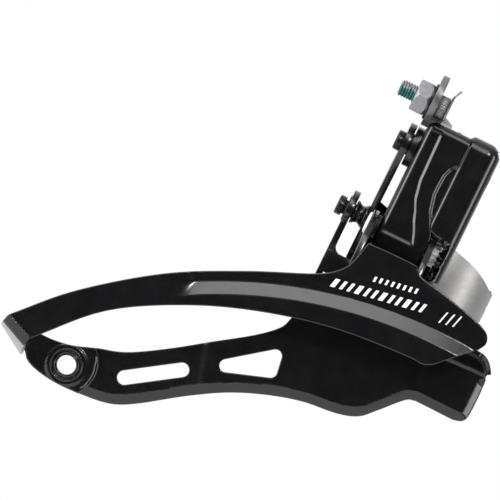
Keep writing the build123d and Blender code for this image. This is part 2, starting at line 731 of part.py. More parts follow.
inner_rear_y = inner_front_y + cage_sheet
lip_depth = 0.9
with BuildPart() as inner_cage_plate:
    with BuildSketch(on_y(inner_rear_y)):
        with BuildLine():
            Spline((-78, -55.6), (-70, -53), (-60, -47), (-50, -40), (-40, -33), (-34.5, -28), (-33.0, -24.5))
            Polyline(
                (-33.0, -24.5),
                (-31.6, -14.0),
                (-30.6, -12.2),
                (0.0, -12.2),
                (2.0, -15.6),
                (20.8, -15.8),
            )
            Spline((20.8, -15.8), (23.4, -17.0), (24.0, -22.0), (23.6, -27.4), (22.4, -29.4), (20.0, -30.2))
            Line((20.0, -30.2), (8.4, -30.0))
            Spline((8.4, -30.0), (5.6, -31.1), (0, -37), (-4, -40.8), (-10, -42.8), (-20, -44), (-30, -46.8),
                   (-40, -51))
            Spline((-40, -51), (-50, -57), (-60, -64), (-66, -67.4), (-71, -68.7), (-77.2, -69.3))
            Spline((-77.2, -69.3), (-84, -69.4), (-89.5, -68.0), (-92.2, -63.0), (-89.5, -59.3), (-84.5, -57.9),
                   (-78, -55.6))
        make_face()
        with Locations((tail_x, tail_z)):
            Circle(tail_hole_d / 2 + 0.5, mode=Mode.SUBTRACT)
        # long slot
        with BuildLine():
            slot_dx = 13.5
            slot_dz = 9.0
            slot_len = math.hypot(slot_dx, slot_dz)
            nx = -slot_dz / slot_len * 2.0
            nz = slot_dx / slot_len * 2.0
            ax, az = -67.5, -59.7
            bx, bz = ax + slot_dx, az + slot_dz
            ex, ez = slot_dx / slot_len * 2.0, slot_dz / slot_len * 2.0
            Line((ax + nx, az + nz), (bx + nx, bz + nz))
            ThreePointArc((bx + nx, bz + nz), (bx + ex, bz + ez), (bx - nx, bz - nz))
            Line((bx - nx, bz - nz), (ax - nx, az - nz))
            ThreePointArc((ax - nx, az - nz), (ax - ex, az - ez), (ax + nx, az + nz))
        make_face(mode=Mode.SUBTRACT)
        # rounded four-sided slot
        with BuildSketch(mode=Mode.PRIVATE) as window:
            with Locations((-43.5, -44.3), (-32.3, -35.8), (-31.6, -40.2)):
                Circle(1.8)
            make_hull()
        add(window.sketch, mode=Mode.SUBTRACT)
    extrude(amount=cage_sheet)
    # lip along the lower edge, pressed back from the chain
    with BuildSketch(on_y(inner_rear_y + lip_depth)):
        with BuildLine():
            Spline((8.4, -30.0), (5.6, -31.1), (0, -37), (-4, -40.8), (-10, -42.8), (-20, -44), (-30, -46.8),
                   (-40, -51))
            Spline((-40, -51), (-50, -57), (-60, -64), (-66, -67.4), (-71, -68.7))
            Line((-71, -68.7), (-69.3, -66.1))
            Spline((-69.3, -66.1), (-64.8, -64.8), (-58.7, -61.6), (-48.7, -54.6), (-38.9, -48.4))
            Spline((-38.9, -48.4), (-29.2, -44.2), (-19.5, -41.4), (-9.7, -40.2), (-5, -38.5), (-1.7, -35.2),
                   (3.5, -29.6), (8.4, -27.5))
            Line((8.4, -27.5), (8.4, -30.0))
        make_face()
    extrude(amount=lip_depth)
    # bridge to the outer plate
    with BuildSketch(on_x(2.0, 0, 0)):
        with BuildLine():
            Polyline((inner_rear_y, -17.0), (inner_rear_y, -15.2), (outer_upper_y + cage_sheet, -10.8))
            Line((outer_upper_y + cage_sheet, -10.8), (outer_upper_y + cage_sheet, -12.1))
            Polyline((outer_upper_y + cage_sheet, -12.1), (inner_front_y, -17.0), (inner_rear_y, -17.0))
        make_face()
    extrude(amount=20.2)
    with BuildSketch(on_y(inner_front_y)):
        with BuildLine():
            Spline((17.3, -10.2), (19.6, -11.5), (21.6, -13.6), (22.6, -16.6))
            Polyline((22.6, -16.6), (24.0, -14.0), (24.0, -9.0), (17.3, -9.0), (17.3, -10.2))
        make_face()
    extrude(amount=12, mode=Mode.SUBTRACT)
    # ears back to the rear cage pivot
    for x0, x1 in ((-29.9, -28.1), (-8.1, -6.3)):
        with BuildSketch(on_x(x0, 0, 0)):
            with BuildLine():
                Line((inner_front_y, -21.0), (inner_front_y, -12.4))
                Spline((inner_front_y, -12.4), (-28, -10.4), (rear_pivot_y, rear_pivot_z + ear_r))
                RadiusArc((rear_pivot_y, rear_pivot_z + ear_r), (rear_pivot_y, rear_pivot_z - ear_r), ear_r)
                Spline((rear_pivot_y, rear_pivot_z - ear_r), (-28, -19.4), (inner_front_y, -21.0))
            make_face()
            with Locations((rear_pivot_y, rear_pivot_z)):
                Circle(pin_d / 2, mode=Mode.SUBTRACT)
        extrude(amount=x1 - x0)

with BuildPart() as tail_rivet:
    with BuildSketch(on_y(inner_rear_y + 1.0, tail_x, tail_z)):
        Circle(4.4)
        Circle(tail_hole_d / 2, mode=Mode.SUBTRACT)
    extrude(amount=1.0)
    with BuildSketch(on_y(inner_rear_y, tail_x, tail_z)):
        Circle(tail_hole_d / 2 + 0.5)
        Circle(tail_hole_d / 2, mode=Mode.SUBTRACT)
    extrude(amount=2 * cage_sheet)
    with BuildSketch(on_y(inner_front_y - cage_sheet, tail_x, tail_z)):
        Circle(4.8)
        Circle(tail_hole_d / 2, mode=Mode.SUBTRACT)
    extrude(amount=1.0)

# ---------------------------------------------------------------- export
link_body = outer_link.part - rivet_sockets.part
spring_body = return_spring.part + spring_legs.part

pieces = {
    "clamp_band_fixed": clamp_band_fixed.part,
    "clamp_band_swing": clamp_band_swing.part,
    "clamp_hinge_pin": clamp_hinge_pin.part,
    "clamp_bolt": clamp_bolt.part,
    "clamp_washer": clamp_washer.part,
    "clamp_nut": clamp_nut.part,
    "body_bracket": body_bracket.part,
    "body_rivets": body_rivets.part,
    "upper_pivot_pin": upper_pin,
    "lower_pivot_pin": lower_pin,
    "spacer_bush": spacer_bush.part,
    "low_limit_screw": low_screw,
    "high_limit_screw": high_screw,
    "outer_link": link_body,
    "outer_link_bushes": outer_link_bushes,
    "cable_arm": cable_arm.part,
    "arm_rivets": arm_rivets.part,
    "anchor_bolt": anchor_bolt.part,
    "anchor_nut": anchor_nut.part,
    "anchor_washer": anchor_washer.part,
    "cable_plate": cable_plate.part,
    "inner_link": inner_link.part,
    "inner_link_bushes": inner_link_bushes,
    "return_spring": spring_body,
    "outer_cage_plate": outer_cage_plate.part,
    "inner_cage_plate": inner_cage_plate.part,
    "cage_front_pin": front_pin,
    "cage_rear_pin": rear_pin,
    "tail_rivet": tail_rivet.part,
}
for label, piece in pieces.items():
    piece.label = label
    export_step(piece, "parts/" + label + ".step")
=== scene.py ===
import json
import math

import bmesh
import bpy
from mathutils import Matrix, Vector


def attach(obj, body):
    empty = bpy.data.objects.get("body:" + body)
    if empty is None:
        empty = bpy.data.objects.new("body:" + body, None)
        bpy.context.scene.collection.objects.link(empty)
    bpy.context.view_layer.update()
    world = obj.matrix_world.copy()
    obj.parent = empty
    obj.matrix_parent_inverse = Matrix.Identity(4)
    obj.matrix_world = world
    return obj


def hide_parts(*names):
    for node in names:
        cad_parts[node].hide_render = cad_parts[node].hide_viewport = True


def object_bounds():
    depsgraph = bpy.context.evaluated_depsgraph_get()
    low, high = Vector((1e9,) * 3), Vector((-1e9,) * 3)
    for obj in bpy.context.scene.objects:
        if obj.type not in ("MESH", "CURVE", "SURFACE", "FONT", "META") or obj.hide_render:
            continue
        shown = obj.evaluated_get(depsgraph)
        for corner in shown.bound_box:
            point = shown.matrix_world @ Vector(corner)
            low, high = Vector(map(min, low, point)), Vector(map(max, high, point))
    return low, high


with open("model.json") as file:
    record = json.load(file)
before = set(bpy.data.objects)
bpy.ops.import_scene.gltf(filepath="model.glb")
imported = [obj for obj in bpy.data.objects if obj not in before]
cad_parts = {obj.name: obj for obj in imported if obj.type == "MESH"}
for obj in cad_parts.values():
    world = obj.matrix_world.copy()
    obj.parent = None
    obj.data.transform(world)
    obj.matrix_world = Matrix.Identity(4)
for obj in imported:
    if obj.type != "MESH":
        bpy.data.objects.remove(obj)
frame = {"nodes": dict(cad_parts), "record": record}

MM = 0.001
SIZE_AT_LOAD = [list(corner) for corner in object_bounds()]

# ---------------------------------------------------------------- node helpers


def new_material(name):
    """An empty node material with an output and a principled shader."""
    material = bpy.data.materials.new(name)
    material.use_nodes = True
    tree = material.node_tree
    tree.nodes.clear()
    out = tree.nodes.new("ShaderNodeOutputMaterial")
    shader = tree.nodes.new("ShaderNodeBsdfPrincipled")
    tree.links.new(shader.outputs["BSDF"], out.inputs["Surface"])
    return material, tree, shader


def object_coordinates(tree, scale=(1, 1, 1)):
    """Object coordinates, stretched by scale."""
    place = tree.nodes.new("ShaderNodeTexCoord")
    mapping = tree.nodes.new("ShaderNodeMapping")
    mapping.inputs["Scale"].default_value = scale
    tree.links.new(place.outputs["Object"], mapping.inputs["Vector"])
    return mapping.outputs["Vector"]


def noise(tree, vector, scale, detail=3.0, roughness=0.55):
    """A noise value at this many features a metre."""
    node = tree.nodes.new("ShaderNodeTexNoise")
    node.inputs["Scale"].default_value = scale
    node.inputs["Detail"].default_value = detail
    node.inputs["Roughness"].default_value = roughness
    tree.links.new(vector, node.inputs["Vector"])
    return node.outputs["Fac"]


def spread(tree, value, low, high, to_low, to_high):
    """Maps a value from one range to another."""
    node = tree.nodes.new("ShaderNodeMapRange")
    for socket, number in (("From Min", low), ("From Max", high), ("To Min", to_low), ("To Max", to_high)):
        node.inputs[socket].default_value = number
    tree.links.new(value, node.inputs["Value"])
    return node.outputs["Result"]


def two_colours(tree, factor, first, second):
    """A colour between two, by a factor."""
    node = tree.nodes.new("ShaderNodeMix")
    node.data_type = "RGBA"
    node.inputs["A"].default_value = (*first, 1)
    node.inputs["B"].default_value = (*second, 1)
    tree.links.new(factor, node.inputs["Factor"])
    return node.outputs["Result"]


def mix_colour(tree, factor, first, second):
    """A colour socket mixed towards a fixed colour."""
    node = tree.nodes.new("ShaderNodeMix")
    node.data_type = "RGBA"
    tree.links.new(first, node.inputs["A"])
    node.inputs["B"].default_value = (*second, 1)
    tree.links.new(factor, node.inputs["Factor"])
    return node.outputs["Result"]


def maths(tree, operation, a, b):
    """Arithmetic on a socket and a number or socket."""
    node = tree.nodes.new("ShaderNodeMath")
    node.operation = operation
    for socket, value in ((node.inputs[0], a), (node.inputs[1], b)):
        if isinstance(value, (int, float)):
            socket.default_value = value
        else:
            tree.links.new(value, socket)
    return node.outputs["Value"]


def bump(tree, shader, height, distance, strength):
    """Adds a height to the shader's normal."""
    node = tree.nodes.new("ShaderNodeBump")
    node.inputs["Distance"].default_value = distance
    node.inputs["Strength"].default_value = strength
    tree.links.new(height, node.inputs["Height"])
    before = shader.inputs["Normal"].links
    if before:
        tree.links.new(before[0].from_socket, node.inputs["Normal"])
    tree.links.new(node.outputs["Normal"], shader.inputs["Normal"])


# ---------------------------------------------------------------- materials


def black_paint():
    """Gloss black paint over pressed steel: slight orange peel and faint dust."""
    material, tree, shader = new_material("gloss_black_paint")
    at = object_coordinates(tree)
    clouds = noise(tree, at, 60, 2)
    colour = two_colours(tree, clouds, (0.0030, 0.0030, 0.0034), (0.0046, 0.0046, 0.0052))
    dust = spread(tree, noise(tree, at, 4200, 1), 0.74, 0.8, 0.0, 0.25)
    colour = mix_colour(tree, dust, colour, (0.05, 0.05, 0.055))
    tree.links.new(colour, shader.inputs["Base Color"])
    tree.links.new(spread(tree, noise(tree, at, 220, 3), 0.3, 0.7, 0.2, 0.27), shader.inputs["Roughness"])
    shader.inputs["Specular IOR Level"].default_value = 0.5
    shader.inputs["Coat Weight"].default_value = 0.25
    shader.inputs["Coat Roughness"].default_value = 0.1
    bump(tree, shader, noise(tree, at, 1300, 2), 0.00001, 0.25)
    return material


def worn_paint():
    """Bent tail where the paint has rubbed through to bright steel, with black chips left."""
    material, tree, shader = new_material("worn_tail_steel")
    at = object_coordinates(tree)
    chips = spread(tree, noise(tree, at, 520, 5, 0.7), 0.62, 0.66, 0.0, 1.0)
    grain = spread(tree, noise(tree, at, 1800, 3), 0.3, 0.7, 0.0, 1.0)
    colour = two_colours(tree, grain, (0.3, 0.295, 0.3), (0.44, 0.43, 0.44))
    colour = mix_colour(tree, chips, colour, (0.01, 0.01, 0.011))
    tree.links.new(colour, shader.inputs["Base Color"])
    tree.links.new(spread(tree, grain, 0.0, 1.0, 0.32, 0.5), shader.inputs["Roughness"])
    shader.inputs["Metallic"].default_value = 0.35
    bump(tree, shader, chips, 0.00004, 0.5)
    return material


def plated(name, base, rough, grain, streak=(1, 1, 1), metallic=1.0, tint=(1, 1, 1), anisotropy=0.0):
    """Plated or bare steel with a grain, optionally streaked along one direction."""
    material, tree, shader = new_material(name)
    at = object_coordinates(tree)
    stretched = object_coordinates(tree, streak)
    patches = noise(tree, at, 160, 4)
    lines = noise(tree, stretched, grain, 4, 0.65)
    dark = tuple(base * 0.85 * t for t in tint)
    light = tuple(base * 1.1 * t for t in tint)
    colour = two_colours(tree, spread(tree, lines, 0.3, 0.7, 0, 1), dark, light)
    stained = maths(tree, "MULTIPLY", spread(tree, patches, 0.5, 0.75, 0, 1), 0.18)
    colour = mix_colour(tree, stained, colour, tuple(base * 0.5 * t for t in tint))
    tree.links.new(colour, shader.inputs["Base Color"])
    tree.links.new(spread(tree, lines, 0.25, 0.75, rough * 0.75, rough * 1.35), shader.inputs["Roughness"])
    shader.inputs["Metallic"].default_value = metallic
    shader.inputs["Anisotropic"].default_value = anisotropy
    bump(tree, shader, lines, 0.000006, 0.3)
    return material


def threadlocker():
    """Dried teal thread-locking patch, lumpy and semi-matte."""
    material, tree, shader = new_material("threadlock_teal")
    at = object_coordinates(tree)
    lumps = noise(tree, at, 900, 4)
    colour = two_colours(tree, spread(tree, lumps, 0.35, 0.65, 0, 1), (0.002, 0.06, 0.05), (0.02, 0.17, 0.14))
    tree.links.new(colour, shader.inputs["Base Color"])
    shader.inputs["Roughness"].default_value = 0.45
    bump(tree, shader, lumps, 0.00012, 0.6)
    return material


def polymer():
    """Dark oiled bearing polymer."""
    material, tree, shader = new_material("bush_polymer")
    at = object_coordinates(tree)
    grain = noise(tree, at, 2200, 3)
    tree.links.new(two_colours(tree, grain, (0.012, 0.012, 0.012), (0.035, 0.034, 0.033)),
                   shader.inputs["Base Color"])
    shader.inputs["Roughness"].default_value = 0.5
    bump(tree, shader, grain, 0.00003, 0.4)
    return material


def white_print():
    """White screen print, a little uneven and thin at its rim."""
    material, tree, shader = new_material("white_print")
    at = object_coordinates(tree)
    pores = noise(tree, at, 3000, 3)
    colour = two_colours(tree, spread(tree, pores, 0.3, 0.6, 0, 1), (0.66, 0.66, 0.67), (0.88, 0.88, 0.88))
    tree.links.new(colour, shader.inputs["Base Color"])
    shader.inputs["Roughness"].default_value = 0.42
    bump(tree, shader, pores, 0.00001, 0.4)
    return material


PAINT = black_paint()
ZINC = plated("zinc_plated_steel", 0.2, 0.42, 420, metallic=0.85, tint=(1.0, 0.98, 0.97))
BAND = plated("brushed_band_steel", 0.4, 0.48, 260, streak=(1, 1, 14), tint=(1, 0.985, 0.975))
OXIDE = plated("black_oxide_steel", 0.012, 0.26, 900, metallic=0.3, tint=(1, 1, 1.08))
NUT = plated("bright_nut_steel", 0.3, 0.42, 700, metallic=0.8, tint=(0.99, 0.98, 1.02))
# Near-white, nearly non-metallic zinc: partly the plating's own light tone, partly a painted highlight for
# the glare on the front pin head.
ZINC_WITH_PAINTED_HIGHLIGHT = plated("bright_zinc", 0.92, 0.45, 500, metallic=0.15, tint=(1, 0.99, 0.98))
WIRE = plated("spring_steel", 0.22, 0.3, 800, metallic=1.0, tint=(1, 0.99, 0.98))
POLYMER = polymer()
TEAL = threadlocker()
PRINT = white_print()
WORN = worn_paint()

BY_SLOT = {
    "gloss_black_paint": PAINT,
    "zinc_plated_steel": ZINC,
    "brushed_band_steel": BAND,
    "black_oxide_steel": OXIDE,
    "bright_zinc": ZINC_WITH_PAINTED_HIGHLIGHT,
    "spring_steel": WIRE,
    "bush_polymer": POLYMER,
}
SLOT_OF = {part["node"]: part["material_slot"] for part in frame["record"]["subparts"]}
BODY_OF = {node: body for body, nodes in frame["record"]["behaviour"]["bodies"].items() for node in nodes}

# ---------------------------------------------------------------- mesh helpers


def add_piece(name, mesh, material, body, node=None):
    """Puts a finished mesh in the scene, on its body, standing for a CAD node where it has one."""
    piece = bpy.data.objects.new(name, mesh)
    bpy.context.scene.collection.objects.link(piece)
    mesh.materials.clear()
    mesh.materials.append(material)
    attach(piece, body)
    if node:
        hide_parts(node)
    return piece


def finish_mesh(bm, name, sharp=40.0):
    """Smooth faces with edges over an angle left sharp."""
    bmesh.ops.recalc_face_normals(bm, faces=bm.faces)
    for face in bm.faces:
        face.smooth = True
    for edge in bm.edges:
        angle = edge.calc_face_angle(0.0)
        edge.smooth = angle < math.radians(sharp)
    mesh = bpy.data.meshes.new(name)
    bm.to_mesh(mesh)
    bm.free()
    return mesh


def hard_edges(bm, angle):
    """Edges that turn by more than this many degrees."""
    return [e for e in bm.edges if len(e.link_faces) == 2 and e.calc_face_angle(0.0) > math.radians(angle)]


def round_edges(bm, edges, width, segments):
    """Rounds these edges to this width in millimetres."""
    if edges:
        bmesh.ops.bevel(bm, geom=edges, offset=width * MM, offset_type="OFFSET", segments=segments,
                        profile=0.5, affect="EDGES", clamp_overlap=True)


def soften(node, width):
    """A copy of a CAD node with its hard edges rounded, in place of the node."""
    source = frame["nodes"][node]
    bm = bmesh.new()
    bm.from_mesh(source.data)
    bmesh.ops.remove_doubles(bm, verts=bm.verts, dist=0.000004)
    bmesh.ops.dissolve_limit(bm, angle_limit=math.radians(0.6), verts=bm.verts, edges=bm.edges)
    round_edges(bm, hard_edges(bm, 34), width, 2)
    mesh = finish_mesh(bm, node + "_soft", 38)
    return add_piece(node + "_piece", mesh, BY_SLOT[SLOT_OF[node]], BODY_OF[node], node)


EDGE_WIDTHS = {
    "clamp_band_fixed": 0.25,
    "clamp_band_swing": 0.25,
    "inner_link": 0.35,
    "cable_arm": 0.3,
    "clamp_bolt": 0.25,
    "clamp_washer": 0.15,
    "anchor_washer": 0.12,
    "upper_pivot_pin": 0.3,
    "lower_pivot_pin": 0.3,
    "cage_rear_pin": 0.3,
    "clamp_hinge_pin": 0.25,
    "body_rivets": 0.4,
    "arm_rivets": 0.3,
    "low_limit_screw": 0.12,
    "high_limit_screw": 0.12,
    "outer_link_bushes": 0.15,
    "inner_link_bushes": 0.08,
}
for node_name, edge in EDGE_WIDTHS.items():
    soften(node_name, edge)

def smooth_points(points, per_span=6):
    """Points along a smooth curve that passes through the given points."""
    pts = [Vector(p) for p in points]
    pts = [2 * pts[0] - pts[1]] + pts + [2 * pts[-1] - pts[-2]]
    found = []
    for a, b, c, d in zip(pts, pts[1:], pts[2:], pts[3:]):
        for step in range(per_span):
            t = step / per_span
            found.append(0.5 * ((2 * b) + (c - a) * t + (2 * a - 5 * b + 4 * c - d) * t * t
                                + (3 * b - a - 3 * c + d) * t ** 3))
    found.append(pts[-2])
    return [tuple(p) for p in found]


def outline_of(*sections):
    """One closed outline from corner lists and ("curve", points) sections."""
    points = []
    for section in sections:
        run = smooth_points(section[1]) if section[0] == "curve" else section[1]
        for p in run:
            if not points or math.dist(points[-1], p) > 0.02:
                points.append(tuple(p))
    if math.dist(points[0], points[-1]) < 0.02:
        points.pop()
    return points


def circle_points(centre, radius, count=40):
    return [(centre[0] + radius * math.cos(2 * math.pi * i / count),
             centre[1] + radius * math.sin(2 * math.pi * i / count)) for i in range(count)]


def sheet_bmesh(loops, thickness, edge, cuts_u=(), cuts_v=()):
    """A flat sheet with rounded rims and cut-outs, divided along lines of even u and v, in millimetres."""
    curve = bpy.data.curves.new("sheet_outline", "CURVE")
    curve.dimensions = "2D"
    curve.fill_mode = "BOTH"
    curve.extrude = thickness / 2 - edge
    curve.bevel_depth = edge
    curve.bevel_resolution = 3
    curve.offset = -edge
    for loop in loops:
        spline = curve.splines.new("POLY")
        spline.points.add(len(loop) - 1)
        for point, (u, v) in zip(spline.points, loop):
            point.co = (u, v, 0, 1)
        spline.use_cyclic_u = True
    holder = bpy.data.objects.new("sheet_outline", curve)
    mesh = bpy.data.meshes.new_from_object(holder)
    bpy.data.objects.remove(holder)
    bpy.data.curves.remove(curve)
    bm = bmesh.new()
    bm.from_mesh(mesh)
    bpy.data.meshes.remove(mesh)
    bmesh.ops.remove_doubles(bm, verts=bm.verts, dist=0.001)
    for axis, cuts in ((0, cuts_u), (1, cuts_v)):
        normal = (1, 0, 0) if axis == 0 else (0, 1, 0)
        for value in cuts:
            place = (value, 0, 0) if axis == 0 else (0, value, 0)
            bmesh.ops.bisect_plane(bm, geom=bm.verts[:] + bm.edges[:] + bm.faces[:], plane_co=place,
                                   plane_no=normal, dist=0.0005)
    return bm


def place_vertices(bm, where):
    """Moves each vertex to where(u, v, w), given and returned in millimetres."""
    for vert in bm.verts:
        vert.co = Vector(where(*vert.co)) * MM


def steps(low, high, step):
    return [low + i * step for i in range(int((high - low) / step) + 1)]


def ease(t):
    t = min(1.0, max(0.0, t))
    return t * t * (3 - 2 * t)


def distance_to(path, u, v):
    """Distance from a point to a path of straight pieces."""
    best = 1e9
    for (ax, ay), (bx, by) in zip(path, path[1:]):
        dx, dy = bx - ax, by - ay
        t = max(0.0, min(1.0, ((u - ax) * dx + (v - ay) * dy) / (dx * dx + dy * dy + 1e-12)))
        best = min(best, math.hypot(u - ax - t * dx, v - ay - t * dy))
    return best


# ---------------------------------------------------------------- cage: outer plate

OUTER_UPPER_Y = -45.3
OUTER_LOWER_Y = -47.0
SHEET = 1.2
DISH_X, DISH_Z = 5.7, -150.3
DISH_OUTER_R, DISH_INNER_R = 140.6, 136.8
INNER_Y = -35.2
TAIL_HOLE = (-83.5, -63.5)


def outer_front_y(x, radius):
    """Front of the outer plate: flat, sloped, flat, the step running out to one flat face at the tail."""
    t = min(1.0, max(0.0, (DISH_OUTER_R - radius) / (DISH_OUTER_R - DISH_INNER_R)))
    pressed = ease((x - PRESSED_END) / 4.5)
    return OUTER_LOWER_Y + (OUTER_UPPER_Y - OUTER_LOWER_Y) * (1 - t) * pressed


def to_dish(x, z):
    return math.atan2(x - DISH_X, z - DISH_Z) * DISH_OUTER_R, math.hypot(x - DISH_X, z - DISH_Z)


def from_dish(u, radius):
    return DISH_X + radius * math.sin(u / DISH_OUTER_R), DISH_Z + radius * math.cos(u / DISH_OUTER_R)


OUTER_OUTLINE = outline_of(
    ("line", [(-23.0, 3.8), (-8.0, 4.0)]),
    ("curve", [(-8.0, 4.0), (-7.2, 2.7), (-5.8, 1.8), (-4.4, 1.4)]),
    ("line", [(-4.4, 1.4), (15.0, -3.1)]),
    ("curve", [(15.0, -3.1), (17.6, -4.6), (18.6, -7.0), (17.4, -9.6)]),
    ("line", [(17.4, -9.6), (8.0, -18.6)]),
    ("curve", [(8.0, -18.6), (5.0, -19.9), (0, -19.8), (-20, -21.5), (-40, -26), (-60, -33.5), (-80, -45),
               (-95.6, -61.1)]),
    ("line", [(-95.6, -61.1), (-103.8, -57.6)]),
    ("curve", [(-103.8, -57.6), (-90, -43.5), (-70, -28.5), (-50, -18), (-32, -10), (-26.2, -5.6),
               (-24.4, -2.0), (-23.0, 3.8)]),
)
PRESSED_END = -65.0


def outer_plate():
    """The outer plate: flat face, sloped pressed band that fades out near the tail, flat lower face."""
    loop = [to_dish(x, z) for x, z in OUTER_OUTLINE]
    low = min(p[0] for p in loop)
    high = max(p[0] for p in loop)
    creases = [DISH_INNER_R - 0.35, DISH_INNER_R, DISH_INNER_R + 0.35,
               DISH_OUTER_R - 0.35, DISH_OUTER_R, DISH_OUTER_R + 0.35]
    bm = sheet_bmesh([loop], SHEET, 0.32, steps(low, high, 1.6), creases + steps(124, 156, 3.1))

    def where(u, radius, w):
        x, z = from_dish(u, radius)
        front = outer_front_y(x, radius)
        return x, front + SHEET / 2 - w, z

    place_vertices(bm, where)
    return finish_mesh(bm, "outer_cage_plate_sheet", 50)


def sheet_across_x(name, loops, x0, x1, edge, holes=()):
    """A plate across X from an outline of (Y, Z) points."""
    bm = sheet_bmesh([loops] + list(holes), x1 - x0, edge)
    place_vertices(bm, lambda u, v, w: (x0 + (x1 - x0) / 2 + w, u, v))
    return finish_mesh(bm, name, 50)


FRONT_PIVOT = (-31.0, 9.0)
PIN_R = 2.1
EAR_OUTLINE = outline_of(
    ("line", [(-45.0, -4.0), (-45.0, 5.0)]),
    ("curve", [(-45.0, 5.0), (-40, 10.6), (-34.5, 12.9), (-31.0, 13.2)]),
    ("curve", [(-31.0, 13.2), (-28.0, 12.0), (-26.8, 9.0), (-28.0, 6.0), (-31.0, 4.8)]),
    ("curve", [(-31.0, 4.8), (-38, 2.6), (-42.5, -0.6), (-45.0, -4.0)]),
)


def tail_wall():
    """The bent tail of the outer plate: a short sloping bend, then a steep worn wall back to the tab."""
    upper = [(-103.5, -46.9, -57.2), (-103.8, -46.7, -57.7), (-104.1, -46.0, -58.9), (-104.2, -44.5, -59.3),
             (-104.3, -41.0, -59.8), (-104.3, -36.6, -60.3)]
    lower = [(-95.3, -46.9, -60.7), (-95.6, -46.7, -61.2), (-95.9, -46.0, -62.5), (-95.9, -44.5, -63.6),
             (-95.8, -41.0, -64.7), (-95.7, -36.6, -65.7)]
    bm = bmesh.new()
    rows = []
    for a, b in zip(smooth_points(upper, 3), smooth_points(lower, 3)):
        a, b = Vector(a), Vector(b)
        rows.append([bm.verts.new((a + (b - a) * (i / 8)) * MM) for i in range(9)])
    for first, second in zip(rows, rows[1:]):
        for i in range(8):
            bm.faces.new((first[i], first[i + 1], second[i + 1], second[i]))
    return solid_sheet(bm, "tail_wall", 1.1)


def solid_sheet(bm, name, thickness, offset=1.0, edge=0.3):
    """Gives an open sheet its thickness and rounded rims."""
    bmesh.ops.recalc_face_normals(bm, faces=bm.faces)
    mesh = bpy.data.meshes.new(name)
    bm.to_mesh(mesh)
    bm.free()
    holder = bpy.data.objects.new(name, mesh)
    bpy.context.scene.collection.objects.link(holder)
    thick = holder.modifiers.new("thickness", "SOLIDIFY")
    thick.thickness = thickness * MM
    thick.offset = offset
    rim = holder.modifiers.new("rim", "BEVEL")
    rim.width = edge * MM
    rim.segments = 3
    rim.limit_method = "ANGLE"
    rim.angle_limit = math.radians(50)
    bpy.context.view_layer.update()
    done = bpy.data.meshes.new_from_object(holder.evaluated_get(bpy.context.evaluated_depsgraph_get()))
    bpy.data.objects.remove(holder)
    done.name = name
    for polygon in done.polygons:
        polygon.use_smooth = True
    return done


TAB_OUTLINE = outline_of(
    ("curve", [(-99.0, -60.8), (-97.0, -59.3), (-94.5, -58.9), (-90, -58.8), (-84.5, -57.9), (-78, -55.6)]),
    ("curve", [(-78, -55.6), (-75.6, -59.2), (-74.9, -63.2), (-75.6, -66.7), (-77.2, -69.3)]),
    ("curve", [(-77.2, -69.3), (-84, -69.4), (-90, -68.6), (-93.8, -67.2), (-95.6, -65.2)]),
    ("line", [(-95.6, -65.2), (-99.0, -62.8), (-99.0, -60.8)]),
)


def tail_tab():
    """The tab of the outer plate over the inner plate's tail, with a raised ring pressed round the rivet."""
    bm = sheet_bmesh([TAB_OUTLINE, circle_points(TAIL_HOLE, 3.2)], SHEET, 0.4,
                     steps(-99, -75, 0.45), steps(-69, -56, 0.45))

    def where(u, v, w):
        r = math.dist((u, v), TAIL_HOLE)
        raised = 0.35 * (1 - ease((r - 5.5) / 0.6))
        return u, INNER_Y - SHEET / 2 - w - raised, v

    place_vertices(bm, where)
    return finish_mesh(bm, "tail_tab", 50)


def join_meshes(name, meshes):
    """One mesh from several."""
    bm = bmesh.new()
    for mesh in meshes:
        bm.from_mesh(mesh)
        bpy.data.meshes.remove(mesh)
    joined = bpy.data.meshes.new(name)
    bm.to_mesh(joined)
    bm.free()
    return joined


def make_outer_cage_plate():
    hole = circle_points(FRONT_PIVOT, PIN_R, 28)
    parts = [outer_plate(), tail_wall(), tail_tab()]
    for x0, x1 in ((-25.3, -23.5), (-7.5, -5.8)):
        parts.append(sheet_across_x("ear", EAR_OUTLINE, x0, x1, 0.35, [hole]))
    mesh = join_meshes("outer_cage_plate_mesh", parts)
    piece = add_piece("outer_cage_plate_piece", mesh, PAINT, "cage", "outer_cage_plate")
    mesh.materials.append(WORN)
    for polygon in mesh.polygons:
        middle = polygon.center / MM
        if middle.x < -95.4 and -46.1 < middle.y < -36.4:
            polygon.material_index = 1
    return piece


# ---------------------------------------------------------------- cage: inner plate

LOWER_EDGE = outline_of(
    ("curve", [(23.6, -18.5), (23.7, -22.0), (23.5, -27.4), (22.4, -29.4), (20.0, -30.2)]),
    ("line", [(20.0, -30.2), (8.4, -30.0)]),
    ("curve", [(8.4, -30.0), (5.6, -31.1), (0, -37), (-4, -40.8), (-10, -42.8), (-20, -44), (-30, -46.8),
               (-40, -51), (-50, -57), (-60, -64), (-66, -67.4), (-71, -68.7), (-77.2, -69.3)]),
)
INNER_OUTLINE = outline_of(
    ("curve", [(-78, -55.6), (-70, -53), (-60, -47), (-50, -40), (-40, -33), (-34.5, -28), (-33.0, -24.5)]),
    ("line", [(-33.0, -24.5), (-31.6, -14.0), (-30.6, -12.2), (0.0, -12.2), (2.0, -15.9), (20.0, -15.6)]),
    ("curve", [(20.0, -15.6), (22.6, -15.4), (23.4, -16.4), (23.6, -18.5)]),
    ("line", LOWER_EDGE),
    ("curve", [(-77.2, -69.3), (-84, -69.0), (-89.5, -67.0), (-91.5, -63.0), (-89.5, -59.8), (-84.5, -58.4),
               (-78, -55.6)]),
)


def obround(first, second, half):
    """A slot with round ends between two points."""
    along = Vector((second[0] - first[0], second[1] - first[1])).normalized()
    side = Vector((-along.y, along.x))
    points = []
    for centre, sign in ((Vector(second), 1), (Vector(first), -1)):
        for i in range(13):
            t = math.pi * i / 12
            points.append(tuple(centre + half * sign * (side * math.cos(t) + along * math.sin(t))))
    return points


